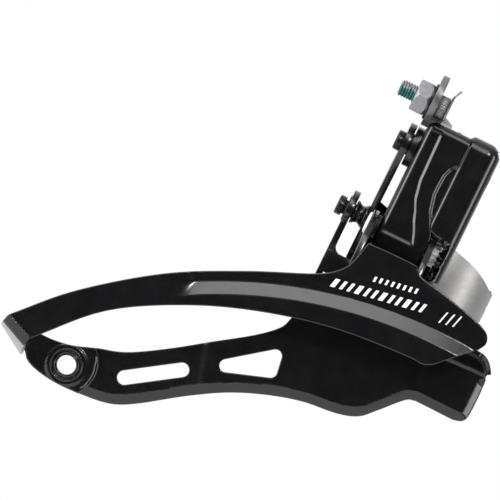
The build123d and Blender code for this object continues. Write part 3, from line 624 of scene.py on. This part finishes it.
def rounded_window(centres, radius):
    """A window with the given corner centres, clockwise, and one corner radius."""
    points = []
    count = len(centres)
    for i, centre in enumerate(centres):
        before, after = Vector(centres[i - 1]), Vector(centres[(i + 1) % count])
        centre = Vector(centre)
        start = math.atan2(*(reversed((centre - before).normalized()))) + math.pi / 2
        end = math.atan2(*(reversed((after - centre).normalized()))) + math.pi / 2
        while end > start:
            end -= 2 * math.pi
        for k in range(9):
            t = start + (end - start) * k / 8
            points.append((centre.x + radius * math.cos(t), centre.y + radius * math.sin(t)))
    return points


def inner_surface(x, z):
    """How far the inner plate's face stands back from its plane: rolled lower lip, joggle, tail."""
    back = 1.6 * max(0.0, 1 - distance_to(LOWER_EDGE, x, z) / 2.7) ** 1.1
    back += 0.12 * ease((-z - 23.4) / 1.4) * ease((x - 4) / 4)
    joggle = ((x + 49.6) * 0.958 + (z + 46.5) * 0.287)
    back += 0.55 * (1 - ease((joggle + 0.9) / 1.8)) * ease((x + 78) / 10)
    return back


def inner_plate():
    slot_one = obround((-67.5, -59.7), (-54.0, -50.7), 2.0)
    slot_two = rounded_window([(-43.5, -44.3), (-32.3, -35.8), (-31.6, -40.2)], 1.8)
    bm = sheet_bmesh([INNER_OUTLINE, slot_one, slot_two, circle_points(TAIL_HOLE, 3.2)], SHEET, 0.3,
                     steps(-92, 24, 1.0), steps(-69, -12, 1.0))

    def where(u, v, w):
        return u, INNER_Y + SHEET / 2 - w + inner_surface(u, v), v

    place_vertices(bm, where)
    return finish_mesh(bm, "inner_sheet", 50)


def bridge_sheet():
    """The bridge between the two plates: a face, then a turned-over top, round at the nose."""
    bm = bmesh.new()
    rows = []
    for x in [2 + i for i in range(15)] + [16.8 + 0.31 * i for i in range(21)]:
        drop = 3.8 * max(0.0, (x - 17) / 6) ** 3
        top_z = -10.9 - drop
        reach = 1 - ease((x - 18.0) / 5.0)
        low_z = -16.1 + 0.5 * ease((x - 8) / 15)
        face_top = max(top_z - 0.9, low_z + 0.55)
        profile = [(INNER_Y + 0.1, low_z - 0.3), (INNER_Y - 0.4, low_z + 0.05), (INNER_Y - 0.7, low_z + 0.5)]
        for k in range(1, 5):
            profile.append((INNER_Y - 0.7 - 0.05 * k, low_z + 0.5 + (face_top - low_z - 0.5) * k / 4))
        for k in range(1, 7):
            t = k / 6
            profile.append((INNER_Y - 0.9 - (0.8 + 7.0 * reach) * t,
                            face_top + (top_z - face_top) * math.sin(t * math.pi / 2)))
        rows.append([bm.verts.new(Vector((x, y, z)) * MM) for y, z in profile])
    for first, second in zip(rows, rows[1:]):
        for i in range(len(first) - 1):
            bm.faces.new((first[i], first[i + 1], second[i + 1], second[i]))
    return solid_sheet(bm, "bridge", 1.1, -1.0)


REAR_PIVOT = (-22.0, -14.3)
REAR_EAR = outline_of(
    ("line", [(-35.0, -21.0), (-35.0, -12.4)]),
    ("curve", [(-35.0, -12.4), (-28, -10.4), (-22.0, -10.1), (-19.0, -11.4), (-17.8, -14.3), (-19.0, -17.2),
               (-22.0, -18.5), (-28, -19.4), (-35.0, -21.0)]),
)


def make_inner_cage_plate():
    hole = circle_points(REAR_PIVOT, PIN_R, 28)
    parts = [inner_plate(), bridge_sheet()]
    for x0, x1 in ((-29.9, -28.1), (-8.1, -6.3)):
        parts.append(sheet_across_x("rear_ear", REAR_EAR, x0, x1, 0.35, [hole]))
    mesh = join_meshes("inner_cage_plate_mesh", parts)
    return add_piece("inner_cage_plate_piece", mesh, PAINT, "cage", "inner_cage_plate")


# ---------------------------------------------------------------- print on the outer plate


def slanted_bar(x, z, width, height, lean, tilt):
    """Corners of a slanted bar whose foot is at x, z on a tilted base line."""
    c, s = math.cos(tilt), math.sin(tilt)
    corners = [(0, 0), (width, 0), (width + lean, height), (lean, height)]
    return [(x + u * c - v * s, z + u * s + v * c) for u, v in corners]


def make_print():
    """Plain slanted strokes printed in white: a generic trim pattern."""
    tilt = math.radians(10)
    run, rise = math.cos(tilt), math.sin(tilt)
    bars = []
    at = 0.0
    for i in range(12):
        width = 0.9 if i % 3 else 1.35
        bars.append(slanted_bar(-27.4 + at * run, -11.7 + at * rise, width, 2.5, 1.1, tilt))
        at += width + 1.25
    for i in range(8):
        bars.append(slanted_bar(-17.3 + 1.7 * i * run, -5.3 + 1.7 * i * rise, 0.7, 1.5, 0.35, tilt))
    for i in range(3):
        bars.append(slanted_bar(4.0 + 2.0 * i * run, -7.6 + 2.0 * i * rise, 0.45, 3.4, 1.6, tilt))
    pieces = []
    for bar in bars:
        bm = sheet_bmesh([bar], 0.06, 0.015)
        place_vertices(bm, lambda u, v, w: (u, OUTER_UPPER_Y - 0.02 - w, v))
        pieces.append(finish_mesh(bm, "stroke", 60))
    mesh = join_meshes("white_trim_print", pieces)
    return add_piece("white_trim_print", mesh, PRINT, "cage")


# ---------------------------------------------------------------- turned and threaded pieces


def lathe(profile, y, z, sides=48, radius_at=None, closed=True):
    """A turned solid about an X axis from (x, radius) points, with an optional radius for each angle.

    With closed off, the profile is a loop, such as a bush with its bore.
    """
    bm = bmesh.new()
    rings = []
    for x, r in profile:
        ring = []
        for i in range(sides):
            a = 2 * math.pi * i / sides
            here = radius_at(x, r, a) if radius_at else r
            ring.append(bm.verts.new(Vector((x, y + here * math.cos(a), z + here * math.sin(a))) * MM))
        rings.append(ring)
    for first, second in zip(rings, rings[1:]):
        for i in range(sides):
            j = (i + 1) % sides
            bm.faces.new((first[i], first[j], second[j], second[i]))
    if closed:
        bm.faces.new(list(reversed(rings[0])))
        bm.faces.new(rings[-1])
    else:
        for i in range(sides):
            j = (i + 1) % sides
            bm.faces.new((rings[-1][i], rings[-1][j], rings[0][j], rings[0][i]))
    return bm


ANCHOR = (-38.7, 46.8)


def make_anchor_bolt():
    """The M5 anchor bolt: a rolled thread with a thread-locking patch, and a knurled head."""
    pitch = 0.8
    crest = 2.5
    profile = [(-34.0, 1.7), (-33.85, 2.0)]
    count = 88
    profile += [(-33.7 + i * (9.3 / count), crest) for i in range(count + 1)]
    profile += [(-24.2, 2.35), (-22.5, 2.35)]

    def thread(x, r, a):
        if x < -33.75 or x > -24.35:
            return r
        phase = ((x / pitch) - a / (2 * math.pi)) % 1.0
        depth = 0.44 * abs(2 * phase - 1)
        fade = ease((x + 33.9) / 0.5)
        return r - depth * fade - (1 - fade) * 0.35

    bm = lathe(profile, *ANCHOR, sides=40, radius_at=thread)
    bolt = finish_mesh(bm, "thread", 70)
    head_profile = [(-22.38, 2.2), (-22.35, 2.9), (-22.2, 3.05), (-19.85, 3.1),
                    (-19.6, 2.9), (-19.55, 2.4), (-19.2, 2.35)]

    def knurl(x, r, a):
        return r - (0.16 if r > 2.8 else 0) * abs(math.sin(a * 14))

    head = finish_mesh(lathe(head_profile, *ANCHOR, sides=112, radius_at=knurl), "head", 60)
    mesh = join_meshes("anchor_bolt_mesh", [bolt, head])
    piece = add_piece("anchor_bolt_piece", mesh, NUT, "outer_link", "anchor_bolt")
    mesh.materials.append(TEAL)
    for polygon in mesh.polygons:
        centre = polygon.center / MM
        angle = math.atan2(centre.z - ANCHOR[1], centre.y - ANCHOR[0])
        wobble = 0.35 * math.sin(centre.x * 2.3) + 0.25 * math.sin(centre.x * 5.1)
        front = math.cos(angle - math.radians(-125)) > 0.45 + wobble * 0.5
        if -34 < centre.x < -29.4 and front and math.hypot(centre.y - ANCHOR[0], centre.z - ANCHOR[1]) > 1.5:
            polygon.material_index = 1
    return piece


def make_nut(name, node, body, x0, x1, y, z, flat, material, turn=0.0):
    """A hexagon nut with the curved chamfers that turning leaves on its corners."""
    half = flat / 2
    corner = half / math.cos(math.pi / 6)
    count = 14
    span = x1 - x0
    profile = []
    for i in range(count + 1):
        t = i / count
        near = min(t, 1 - t) * span
        profile.append((x0 + t * span, half - 0.1 + (corner - half + 0.1) * min(1.0, near / 0.9)))

    def hexagon(x, r, a):
        a = (a + turn) % (math.pi / 3) - math.pi / 6
        return min(r, half / math.cos(a))

    bm = lathe(profile, y, z, sides=96, radius_at=hexagon)
    mesh = finish_mesh(bm, name, 24)
    return add_piece(name, mesh, material, body, node)


def make_front_pin():
    """The front cage pin in near-white zinc, its whiteness partly the plating and partly a painted highlight:
    plain shank, domed rear head, toothed front head.
    """
    profile = [(-26.0, 0.8), (-25.95, 2.0), (-25.8, 2.9), (-25.5, 3.2), (-25.3, 3.2), (-25.3, PIN_R),
               (-5.8, PIN_R), (-5.8, 3.3), (-5.65, 3.55), (-5.2, 3.65), (-3.9, 3.65), (-3.5, 3.3),
               (-3.3, 2.7)]

    def teeth(x, r, a):
        return r - (0.35 * abs(math.sin(a * 9)) if -5.75 < x < -5.1 else 0)

    mesh = finish_mesh(lathe(profile, *FRONT_PIVOT, sides=108, radius_at=teeth), "cage_front_pin_mesh", 45)
    return add_piece("cage_front_pin_piece", mesh, ZINC_WITH_PAINTED_HIGHLIGHT, "cage", "cage_front_pin")


def make_spacer():
    """The concave spacer that holds the rear ear off the body, smooth and glossy."""
    y, z = -22.0, 10.2
    waist = [(-29.6 + 2.6 * k / 12, 3.35 - 0.75 * math.sin(math.pi * k / 12)) for k in range(13)]
    profile = [(-30.2, 2.15), (-30.2, 3.3), (-30.1, 3.4), (-29.7, 3.4)] + waist
    profile += [(-26.9, 3.4), (-26.6, 3.4), (-26.5, 3.3), (-26.5, 2.15)]
    mesh = finish_mesh(lathe(profile, y, z, sides=64, closed=False), "spacer_mesh", 50)
    return add_piece("spacer_bush_piece", mesh, PAINT, "bracket", "spacer_bush")


def make_tail_rivet():
    """The hollow tail rivet: a rolled collar at the bore, a groove and a rolled outer rim, front and back."""
    bore = 2.7
    front = INNER_Y - SHEET - 1.0
    rear = INNER_Y + SHEET + 1.0
    profile = [(front + 0.15, bore), (front + 0.02, bore + 0.2), (front, bore + 0.45),
               (front + 0.1, bore + 0.75), (front + 0.5, bore + 0.95), (front + 0.62, bore + 1.2),
               (front + 0.5, bore + 1.4),
               (front + 0.12, bore + 1.55), (front + 0.02, bore + 1.8), (front + 0.15, bore + 2.0),
               (front + 1.0, bore + 2.1), (front + 1.0, bore + 0.5), (rear - 1.0, bore + 0.5),
               (rear - 1.0, bore + 1.6), (rear - 0.3, bore + 1.6), (rear, bore + 1.3),
               (rear, bore + 0.3), (rear - 0.2, bore)]
    bm = lathe(profile, 0.0, 0.0, sides=72, closed=False)
    for vert in bm.verts:
        x, y, z = vert.co / MM
        vert.co = Vector((y + TAIL_HOLE[0], x, z + TAIL_HOLE[1])) * MM
    mesh = finish_mesh(bm, "tail_rivet_mesh", 60)
    return add_piece("tail_rivet_piece", mesh, PAINT, "cage", "tail_rivet")


def wire_nodes():
    """A Geometry Nodes group: sweeps a round section along the edges it is given, with tapered ends."""
    group = bpy.data.node_groups.new("swept_wire", "GeometryNodeTree")
    face = group.interface
    face.new_socket("Geometry", in_out="INPUT", socket_type="NodeSocketGeometry")
    for name, kind, value in (("Radius", "NodeSocketFloat", 0.0005), ("Taper", "NodeSocketFloat", 0.0),
                              ("Sides", "NodeSocketInt", 16), ("Surface", "NodeSocketMaterial", None)):
        socket = face.new_socket(name, in_out="INPUT", socket_type=kind)
        if value is not None:
            socket.default_value = value
    face.new_socket("Geometry", in_out="OUTPUT", socket_type="NodeSocketGeometry")
    nodes, link = group.nodes, group.links.new
    given = nodes.new("NodeGroupInput")
    path = nodes.new("GeometryNodeMeshToCurve")
    link(given.outputs["Geometry"], path.inputs["Mesh"])
    along_path = nodes.new("GeometryNodeSplineParameter")
    from_end = nodes.new("ShaderNodeMath")
    from_end.operation = "SUBTRACT"
    from_end.inputs[0].default_value = 1.0
    link(along_path.outputs["Factor"], from_end.inputs[1])
    nearest = nodes.new("ShaderNodeMath")
    nearest.operation = "MINIMUM"
    link(along_path.outputs["Factor"], nearest.inputs[0])
    link(from_end.outputs[0], nearest.inputs[1])
    ramp = nodes.new("ShaderNodeMapRange")
    ramp.inputs["To Min"].default_value = 0.15
    link(nearest.outputs[0], ramp.inputs["Value"])
    link(given.outputs["Taper"], ramp.inputs["From Max"])
    sized = nodes.new("GeometryNodeSetCurveRadius")
    link(path.outputs["Curve"], sized.inputs["Curve"])
    link(ramp.outputs["Result"], sized.inputs["Radius"])
    section = nodes.new("GeometryNodeCurvePrimitiveCircle")
    link(given.outputs["Sides"], section.inputs["Resolution"])
    link(given.outputs["Radius"], section.inputs["Radius"])
    sweep = nodes.new("GeometryNodeCurveToMesh")
    sweep.inputs["Fill Caps"].default_value = True
    link(sized.outputs["Curve"], sweep.inputs["Curve"])
    link(section.outputs["Curve"], sweep.inputs["Profile Curve"])
    if "Scale" in sweep.inputs:
        radius = nodes.new("GeometryNodeInputRadius")
        link(radius.outputs["Radius"], sweep.inputs["Scale"])
    real = nodes.new("GeometryNodeRealizeInstances")
    link(sweep.outputs["Mesh"], real.inputs["Geometry"])
    skin = nodes.new("GeometryNodeSetMaterial")
    link(real.outputs["Geometry"], skin.inputs["Geometry"])
    link(given.outputs["Surface"], skin.inputs["Material"])
    result = nodes.new("NodeGroupOutput")
    link(skin.outputs["Geometry"], result.inputs["Geometry"])
    return group


def grow(mesh, group, values, name):
    """Runs a node group on a mesh once, with its inputs set by name, and returns the mesh it makes."""
    holder = bpy.data.objects.new(name, mesh)
    bpy.context.scene.collection.objects.link(holder)
    modifier = holder.modifiers.new(name, "NODES")
    modifier.node_group = group
    for socket in group.interface.items_tree:
        if socket.item_type == "SOCKET" and socket.in_out == "INPUT" and socket.name in values:
            modifier[socket.identifier] = values[socket.name]
    bpy.context.view_layer.update()
    ready = holder.evaluated_get(bpy.context.evaluated_depsgraph_get())
    made = bpy.data.meshes.new_from_object(ready)
    holder.modifiers.remove(modifier)
    bpy.data.objects.remove(holder)
    bpy.data.meshes.remove(mesh)
    return made


WIRE_NODES = wire_nodes()


def tube_along(points, radius, surface, taper=0.001, sides=16):
    """A round tube along points given in millimetres, closed at both ends."""
    path = bpy.data.meshes.new("path")
    path.from_pydata([Vector(p) * MM for p in points], [(i, i + 1) for i in range(len(points) - 1)], [])
    sizes = {"Radius": radius * MM, "Taper": taper, "Sides": sides, "Surface": surface}
    made = grow(path, WIRE_NODES, sizes, "tube")
    bm = bmesh.new()
    bm.from_mesh(made)
    bpy.data.meshes.remove(made)
    bmesh.ops.remove_doubles(bm, verts=bm.verts, dist=0.000001)
    return finish_mesh(bm, "tube", 60)


def make_tail_bead():
    """The rounded end of the tail tab, where the inner plate steps out from under it."""
    line = smooth_points([(-77.6, -57.0), (-76.1, -59.6), (-75.5, -63.0), (-76.2, -66.3), (-78.0, -68.4)], 8)
    mesh = tube_along([(x, -36.15, z) for x, z in line], 0.7, PAINT, taper=0.25)
    return add_piece("tail_tab_bead", mesh, PAINT, "cage")


def pressed_face(name, left, right, top, bottom_z, front_y, round_left, round_right, round_top,
                 relief, thickness):
    """A pressed sheet facing the drive side, its left, right and top edges rolled back.

    left and right give the x of each edge at a height; relief gives how far back the face stands at (x, z).
    """
    heights = [top - round_top * (1 - math.cos(math.radians(a))) for a in range(0, 90, 12)]
    z = top - round_top
    while z > bottom_z:
        heights.append(z)
        z -= 0.5
    heights.append(bottom_z)
    rolled = [math.radians(a) for a in range(0, 90, 12)]
    bm = bmesh.new()
    rows = []
    for z in heights:
        x0, x1 = left(z), right(z)
        xs = [x0 + round_left * (1 - math.cos(a)) for a in rolled]
        inner0, inner1 = x0 + round_left, x1 - round_right
        count = 64
        xs += [inner0 + (inner1 - inner0) * i / count for i in range(count + 1)]
        xs += [x1 - round_right * (1 - math.cos(a)) for a in reversed(rolled)]
        row = []
        for x in xs:
            side, radius = (x0 + round_left - x, round_left) if x < inner0 else (x - inner1, round_right)
            side = max(0.0, side) / max(radius, 1e-6)
            up = max(0.0, z - (top - round_top)) / round_top
            far = math.hypot(side, up)
            px, pz = x, z
            if far > 1:
                px = x + (side - side / far) * radius * (1 if x < inner0 else -1)
                pz = z - (up - up / far) * round_top
                far = 1.0
            depth = max(radius if side > up else round_top, 0.3) * (1 - math.sqrt(max(0.0, 1 - far * far)))
            row.append(bm.verts.new(Vector((px, front_y + depth + relief(x, z), pz)) * MM))
        rows.append(row)
    for first, second in zip(rows, rows[1:]):
        for i in range(len(first) - 1):
            bm.faces.new((first[i], first[i + 1], second[i + 1], second[i]))
    bmesh.ops.remove_doubles(bm, verts=bm.verts, dist=0.00002)
    return solid_sheet(bm, name, thickness, -1.0, 0.25)


def along(table, z):
    """A value read from (z, value) pairs in falling z, smoothly."""
    for (z0, a), (z1, b) in zip(table, table[1:]):
        if z1 <= z <= z0:
            t = (z0 - z) / (z0 - z1)
            return a + (b - a) * (t * t * (3 - 2 * t) * 0.35 + t * 0.65)
    return table[0][1] if z > table[0][0] else table[-1][1]


CREASE = [(41.5, -17.9), (36, -17.75), (26.1, -17.5), (21.2, -16.6), (16.2, -14.6), (10.7, -12.3), (8, -11.3)]
SCOOP_EDGE = [(34.1, -10.6), (32.4, -12.0), (29.75, -12.9), (24.3, -13.1), (19.8, -12.1), (15.4, -9.9),
              (13.2, -8.0)]


def cut_front_sheet(bm, y, x):
    """Takes away what lies in front of y and to the right of x, so that a pressed face can replace it."""
    for place, normal in (((0, y, 0), (0, 1, 0)), ((x, 0, 0), (1, 0, 0))):
        bmesh.ops.bisect_plane(bm, geom=bm.verts[:] + bm.edges[:] + bm.faces[:],
                               plane_co=Vector(place) * MM, plane_no=normal)
    gone = []
    for face in bm.faces:
        middle = face.calc_center_median() / MM
        if middle.y < y - 0.001 and middle.x > x + 0.001:
            gone.append(face)
    bmesh.ops.delete(bm, geom=gone, context="FACES")
    bmesh.ops.holes_fill(bm, edges=[e for e in bm.edges if len(e.link_faces) == 1])


def make_outer_link():
    """The outer link: ears and folds from the CAD piece, with a rolled and dished front sheet."""
    node = frame["nodes"]["outer_link"]
    bm = bmesh.new()
    bm.from_mesh(node.data)
    bmesh.ops.remove_doubles(bm, verts=bm.verts, dist=0.000004)
    cut_front_sheet(bm, -35.6, -22.35)
    rest = finish_mesh(bm, "outer_link_folds", 35)

    def right(z):
        return -9.3 + 1.5 * ease((16.5 - z) / 4.5)

    def relief(x, z):
        scoop = ease((34.3 - z) / 1.5) * ease((z - 13.0) / 2.5) * ease((x - along(SCOOP_EDGE, z)) / 1.6)
        step = min(1.0, max(0.0, (along(CREASE, z) + 0.45 - x) / 0.9))
        step = step * ease((41.0 - z) / 2.0) * ease((z - 7.6) / 1.6)
        bend = max(0.0, 8.4 - z)
        return 0.9 * scoop + 0.5 * step + 0.14 * bend + 0.1 * ease(bend / 0.8)

    face = pressed_face("outer_link_face", lambda z: -22.3, right, 42.5, 3.4, -38.0, 2.1, 0.5, 2.4,
                        relief, 1.3)
    mesh = join_meshes("outer_link_mesh", [rest, face])
    return add_piece("outer_link_piece", mesh, PAINT, "outer_link", "outer_link")


def make_body_bracket():
    """The body bracket: web and flanges from the CAD piece, with a broad rolled lip at the front."""
    node = frame["nodes"]["body_bracket"]
    bm = bmesh.new()
    bm.from_mesh(node.data)
    bmesh.ops.remove_doubles(bm, verts=bm.verts, dist=0.000004)
    bmesh.ops.dissolve_limit(bm, angle_limit=math.radians(0.6), verts=bm.verts, edges=bm.edges)
    round_edges(bm, hard_edges(bm, 34), 0.3, 2)
    cut_front_sheet(bm, -34.0, -9.2)
    for vert in bm.verts:
        if vert.co.x > -0.0034 and vert.co.z > 0.0395:
            vert.co.z = 0.0395
    rest = finish_mesh(bm, "body_bracket_web", 38)

    def left(z):
        return -8.8 + 5.5 * ease((15.2 - z) / 2.2)

    def relief(x, z):
        return 1.1 * ease((11.0 - z) / 9)

    face = pressed_face("body_lip", left, lambda z: -1.3, 42.3, 2.0, -36.5, 0.4, 2.4, 2.4, relief, 1.3)
    mesh = join_meshes("body_bracket_mesh", [rest, face])
    return add_piece("body_bracket_piece", mesh, PAINT, "bracket", "body_bracket")


def make_cable_plate():
    """The thin cable plate with its top tab bent forward."""
    y0, z0 = ANCHOR
    outline = [(y0 - 3.4, z0 - 3.2), (y0 + 3.4, z0 - 3.2), (y0 + 3.4, z0 + 4.4), (y0 + 1.8, z0 + 6.2),
               (y0 - 1.8, z0 + 6.2), (y0 - 3.4, z0 + 4.4)]
    bm = sheet_bmesh([outline, circle_points(ANCHOR, 2.5, 28)], 0.6, 0.12, (), steps(z0 - 3, z0 + 6, 0.5))
    place_vertices(bm, lambda u, v, w: (-19.15 + w + 0.75 * max(0.0, v - z0 - 3.6) * 0.6, u, v))
    mesh = finish_mesh(bm, "cable_plate_mesh", 50)
    return add_piece("cable_plate_piece", mesh, NUT, "outer_link", "cable_plate")


def make_arm_gusset():
    """The fold that stiffens the corner between the cable arm and its foot."""
    outline = [(-24.2, 46.6), (-23.2, 46.9), (-16.2, 43.4), (-15.9, 42.3), (-16.8, 41.9), (-24.2, 42.0)]
    bm = sheet_bmesh([outline], 1.2, 0.4, steps(-24, -16, 1.0))
    place_vertices(bm, lambda u, v, w: (u, -35.4 - w - 0.12 * (46 - v), v))
    mesh = finish_mesh(bm, "arm_gusset_mesh", 50)
    return add_piece("cable_arm_gusset", mesh, ZINC, "outer_link")


def make_spring():
    """The return spring: close turns of round wire round the upper pivot, with two straight legs."""
    turns, r, x0, pitch = 4, 3.1, -8.2, 1.1
    y, z = -31.0, 33.5
    points = []
    for i in range(turns * 24 + 1):
        a = 2 * math.pi * i / 24
        points.append((x0 + pitch * i / 24, y + r * math.cos(a), z + r * math.sin(a)))
    first, last = points[0], points[-1]
    points = [(first[0], first[1], first[2] - 3.0), (first[0], first[1], first[2] - 0.6)] + points
    points += [(last[0], last[1], last[2] + 0.6), (last[0], last[1], last[2] + 3.0)]
    mesh = tube_along(points, 0.5, WIRE)
    return add_piece("return_spring_piece", mesh, WIRE, "bracket", "return_spring")


make_outer_cage_plate()
make_inner_cage_plate()
make_print()
make_anchor_bolt()
make_nut("anchor_nut_piece", "anchor_nut", "outer_link", -29.3, -24.9, *ANCHOR, 9.0, NUT)
make_front_pin()
make_tail_bead()
make_tail_rivet()
make_spacer()
make_outer_link()
make_body_bracket()
make_cable_plate()
make_arm_gusset()
make_spring()

# ---------------------------------------------------------------- camera, light and floor

ROLL = math.radians(26.0)
VIEW_WIDTH = 0.1389
TARGET = Vector((-0.0516, -0.040, -0.01236))
DISTANCE = 1.6


def make_camera():
    """A long lens on the drive side, rolled so that the seat tube leans back."""
    data = bpy.data.cameras.new("camera")
    data.sensor_width = 36.0
    data.lens = 36.0 * DISTANCE / VIEW_WIDTH
    data.clip_start = 0.05
    data.clip_end = 20.0
    camera = bpy.data.objects.new("camera", data)
    bpy.context.scene.collection.objects.link(camera)
    right = Vector((math.cos(ROLL), 0, math.sin(ROLL)))
    up = Vector((-math.sin(ROLL), 0, math.cos(ROLL)))
    back = right.cross(up)
    turn = Matrix((right, up, back)).transposed()
    camera.matrix_world = Matrix.Translation(TARGET + back * DISTANCE) @ turn.to_4x4()
    bpy.context.scene.camera = camera
    return camera, right, up, back


def area_light(name, place, size, energy, aim, colour=(1, 1, 1)):
    """A rectangular softbox aimed at a point."""
    data = bpy.data.lights.new(name, "AREA")
    data.shape = "RECTANGLE"
    data.size, data.size_y = size
    data.energy = energy
    data.color = colour
    light = bpy.data.objects.new(name, data)
    bpy.context.scene.collection.objects.link(light)
    light.location = place
    light.rotation_euler = (Vector(aim) - Vector(place)).to_track_quat("-Z", "Y").to_euler()
    return light


def make_world():
    """A white surround for the camera; for reflections, dark behind the camera and bright overhead."""
    world = bpy.data.worlds.new("studio")
    bpy.context.scene.world = world
    world.use_nodes = True
    tree = world.node_tree
    tree.nodes.clear()
    out = tree.nodes.new("ShaderNodeOutputWorld")
    seen = tree.nodes.new("ShaderNodeBackground")
    seen.inputs["Color"].default_value = (1, 1, 1, 1)
    lit = tree.nodes.new("ShaderNodeBackground")
    lit.inputs["Color"].default_value = (0.96, 0.98, 1, 1)
    place = tree.nodes.new("ShaderNodeTexCoord")
    glows = []
    for direction, low, high, strength in ((cam_up, 0.15, 0.95, 0.8), (-cam_back, -0.1, 0.8, 0.9)):
        dot = tree.nodes.new("ShaderNodeVectorMath")
        dot.operation = "DOT_PRODUCT"
        dot.inputs[1].default_value = direction[:]
        tree.links.new(place.outputs["Generated"], dot.inputs[0])
        glows.append(spread(tree, dot.outputs["Value"], low, high, 0.015, strength))
    tree.links.new(maths(tree, "ADD", *glows), lit.inputs["Strength"])
    path = tree.nodes.new("ShaderNodeLightPath")
    mix = tree.nodes.new("ShaderNodeMixShader")
    tree.links.new(path.outputs["Is Camera Ray"], mix.inputs["Fac"])
    tree.links.new(lit.outputs["Background"], mix.inputs[1])
    tree.links.new(seen.outputs["Background"], mix.inputs[2])
    tree.links.new(mix.outputs["Shader"], out.inputs["Surface"])


def make_floor():
    """A pale round table well below the part."""
    bm = bmesh.new()
    bmesh.ops.create_circle(bm, cap_ends=True, segments=96, radius=0.3,
                            matrix=Matrix.Translation((TARGET.x, TARGET.y, SIZE_AT_LOAD[0][2] - 0.075)))
    floor = bpy.data.objects.new("floor", finish_mesh(bm, "floor"))
    bpy.context.scene.collection.objects.link(floor)
    material, tree, shader = new_material("pale_floor")
    at = object_coordinates(tree)
    tree.links.new(two_colours(tree, noise(tree, at, 30, 3), (0.78, 0.78, 0.78), (0.84, 0.84, 0.84)),
                   shader.inputs["Base Color"])
    shader.inputs["Roughness"].default_value = 0.7
    floor.data.materials.append(material)


camera, cam_right, cam_up, cam_back = make_camera()
bpy.context.scene.view_settings.view_transform = "Standard"
make_world()
make_floor()
FRONT = Vector((1, 0, 0))
area_light("top_softbox", TARGET + cam_up * 0.66 + cam_back * 0.5, (0.8, 0.35), 3.2, TARGET)
area_light("rear_softbox", TARGET - FRONT * 0.55 + cam_back * 0.36, (0.3, 0.7), 4.5, TARGET)
area_light("front_softbox", TARGET + FRONT * 0.5 + cam_right * 0.25 + cam_back * 0.3, (0.25, 0.7), 3.0,
           TARGET)
area_light("key_light", TARGET + cam_back * 0.8 + cam_right * 0.4 + cam_up * 0.35, (0.12, 0.12), 2.5, TARGET)
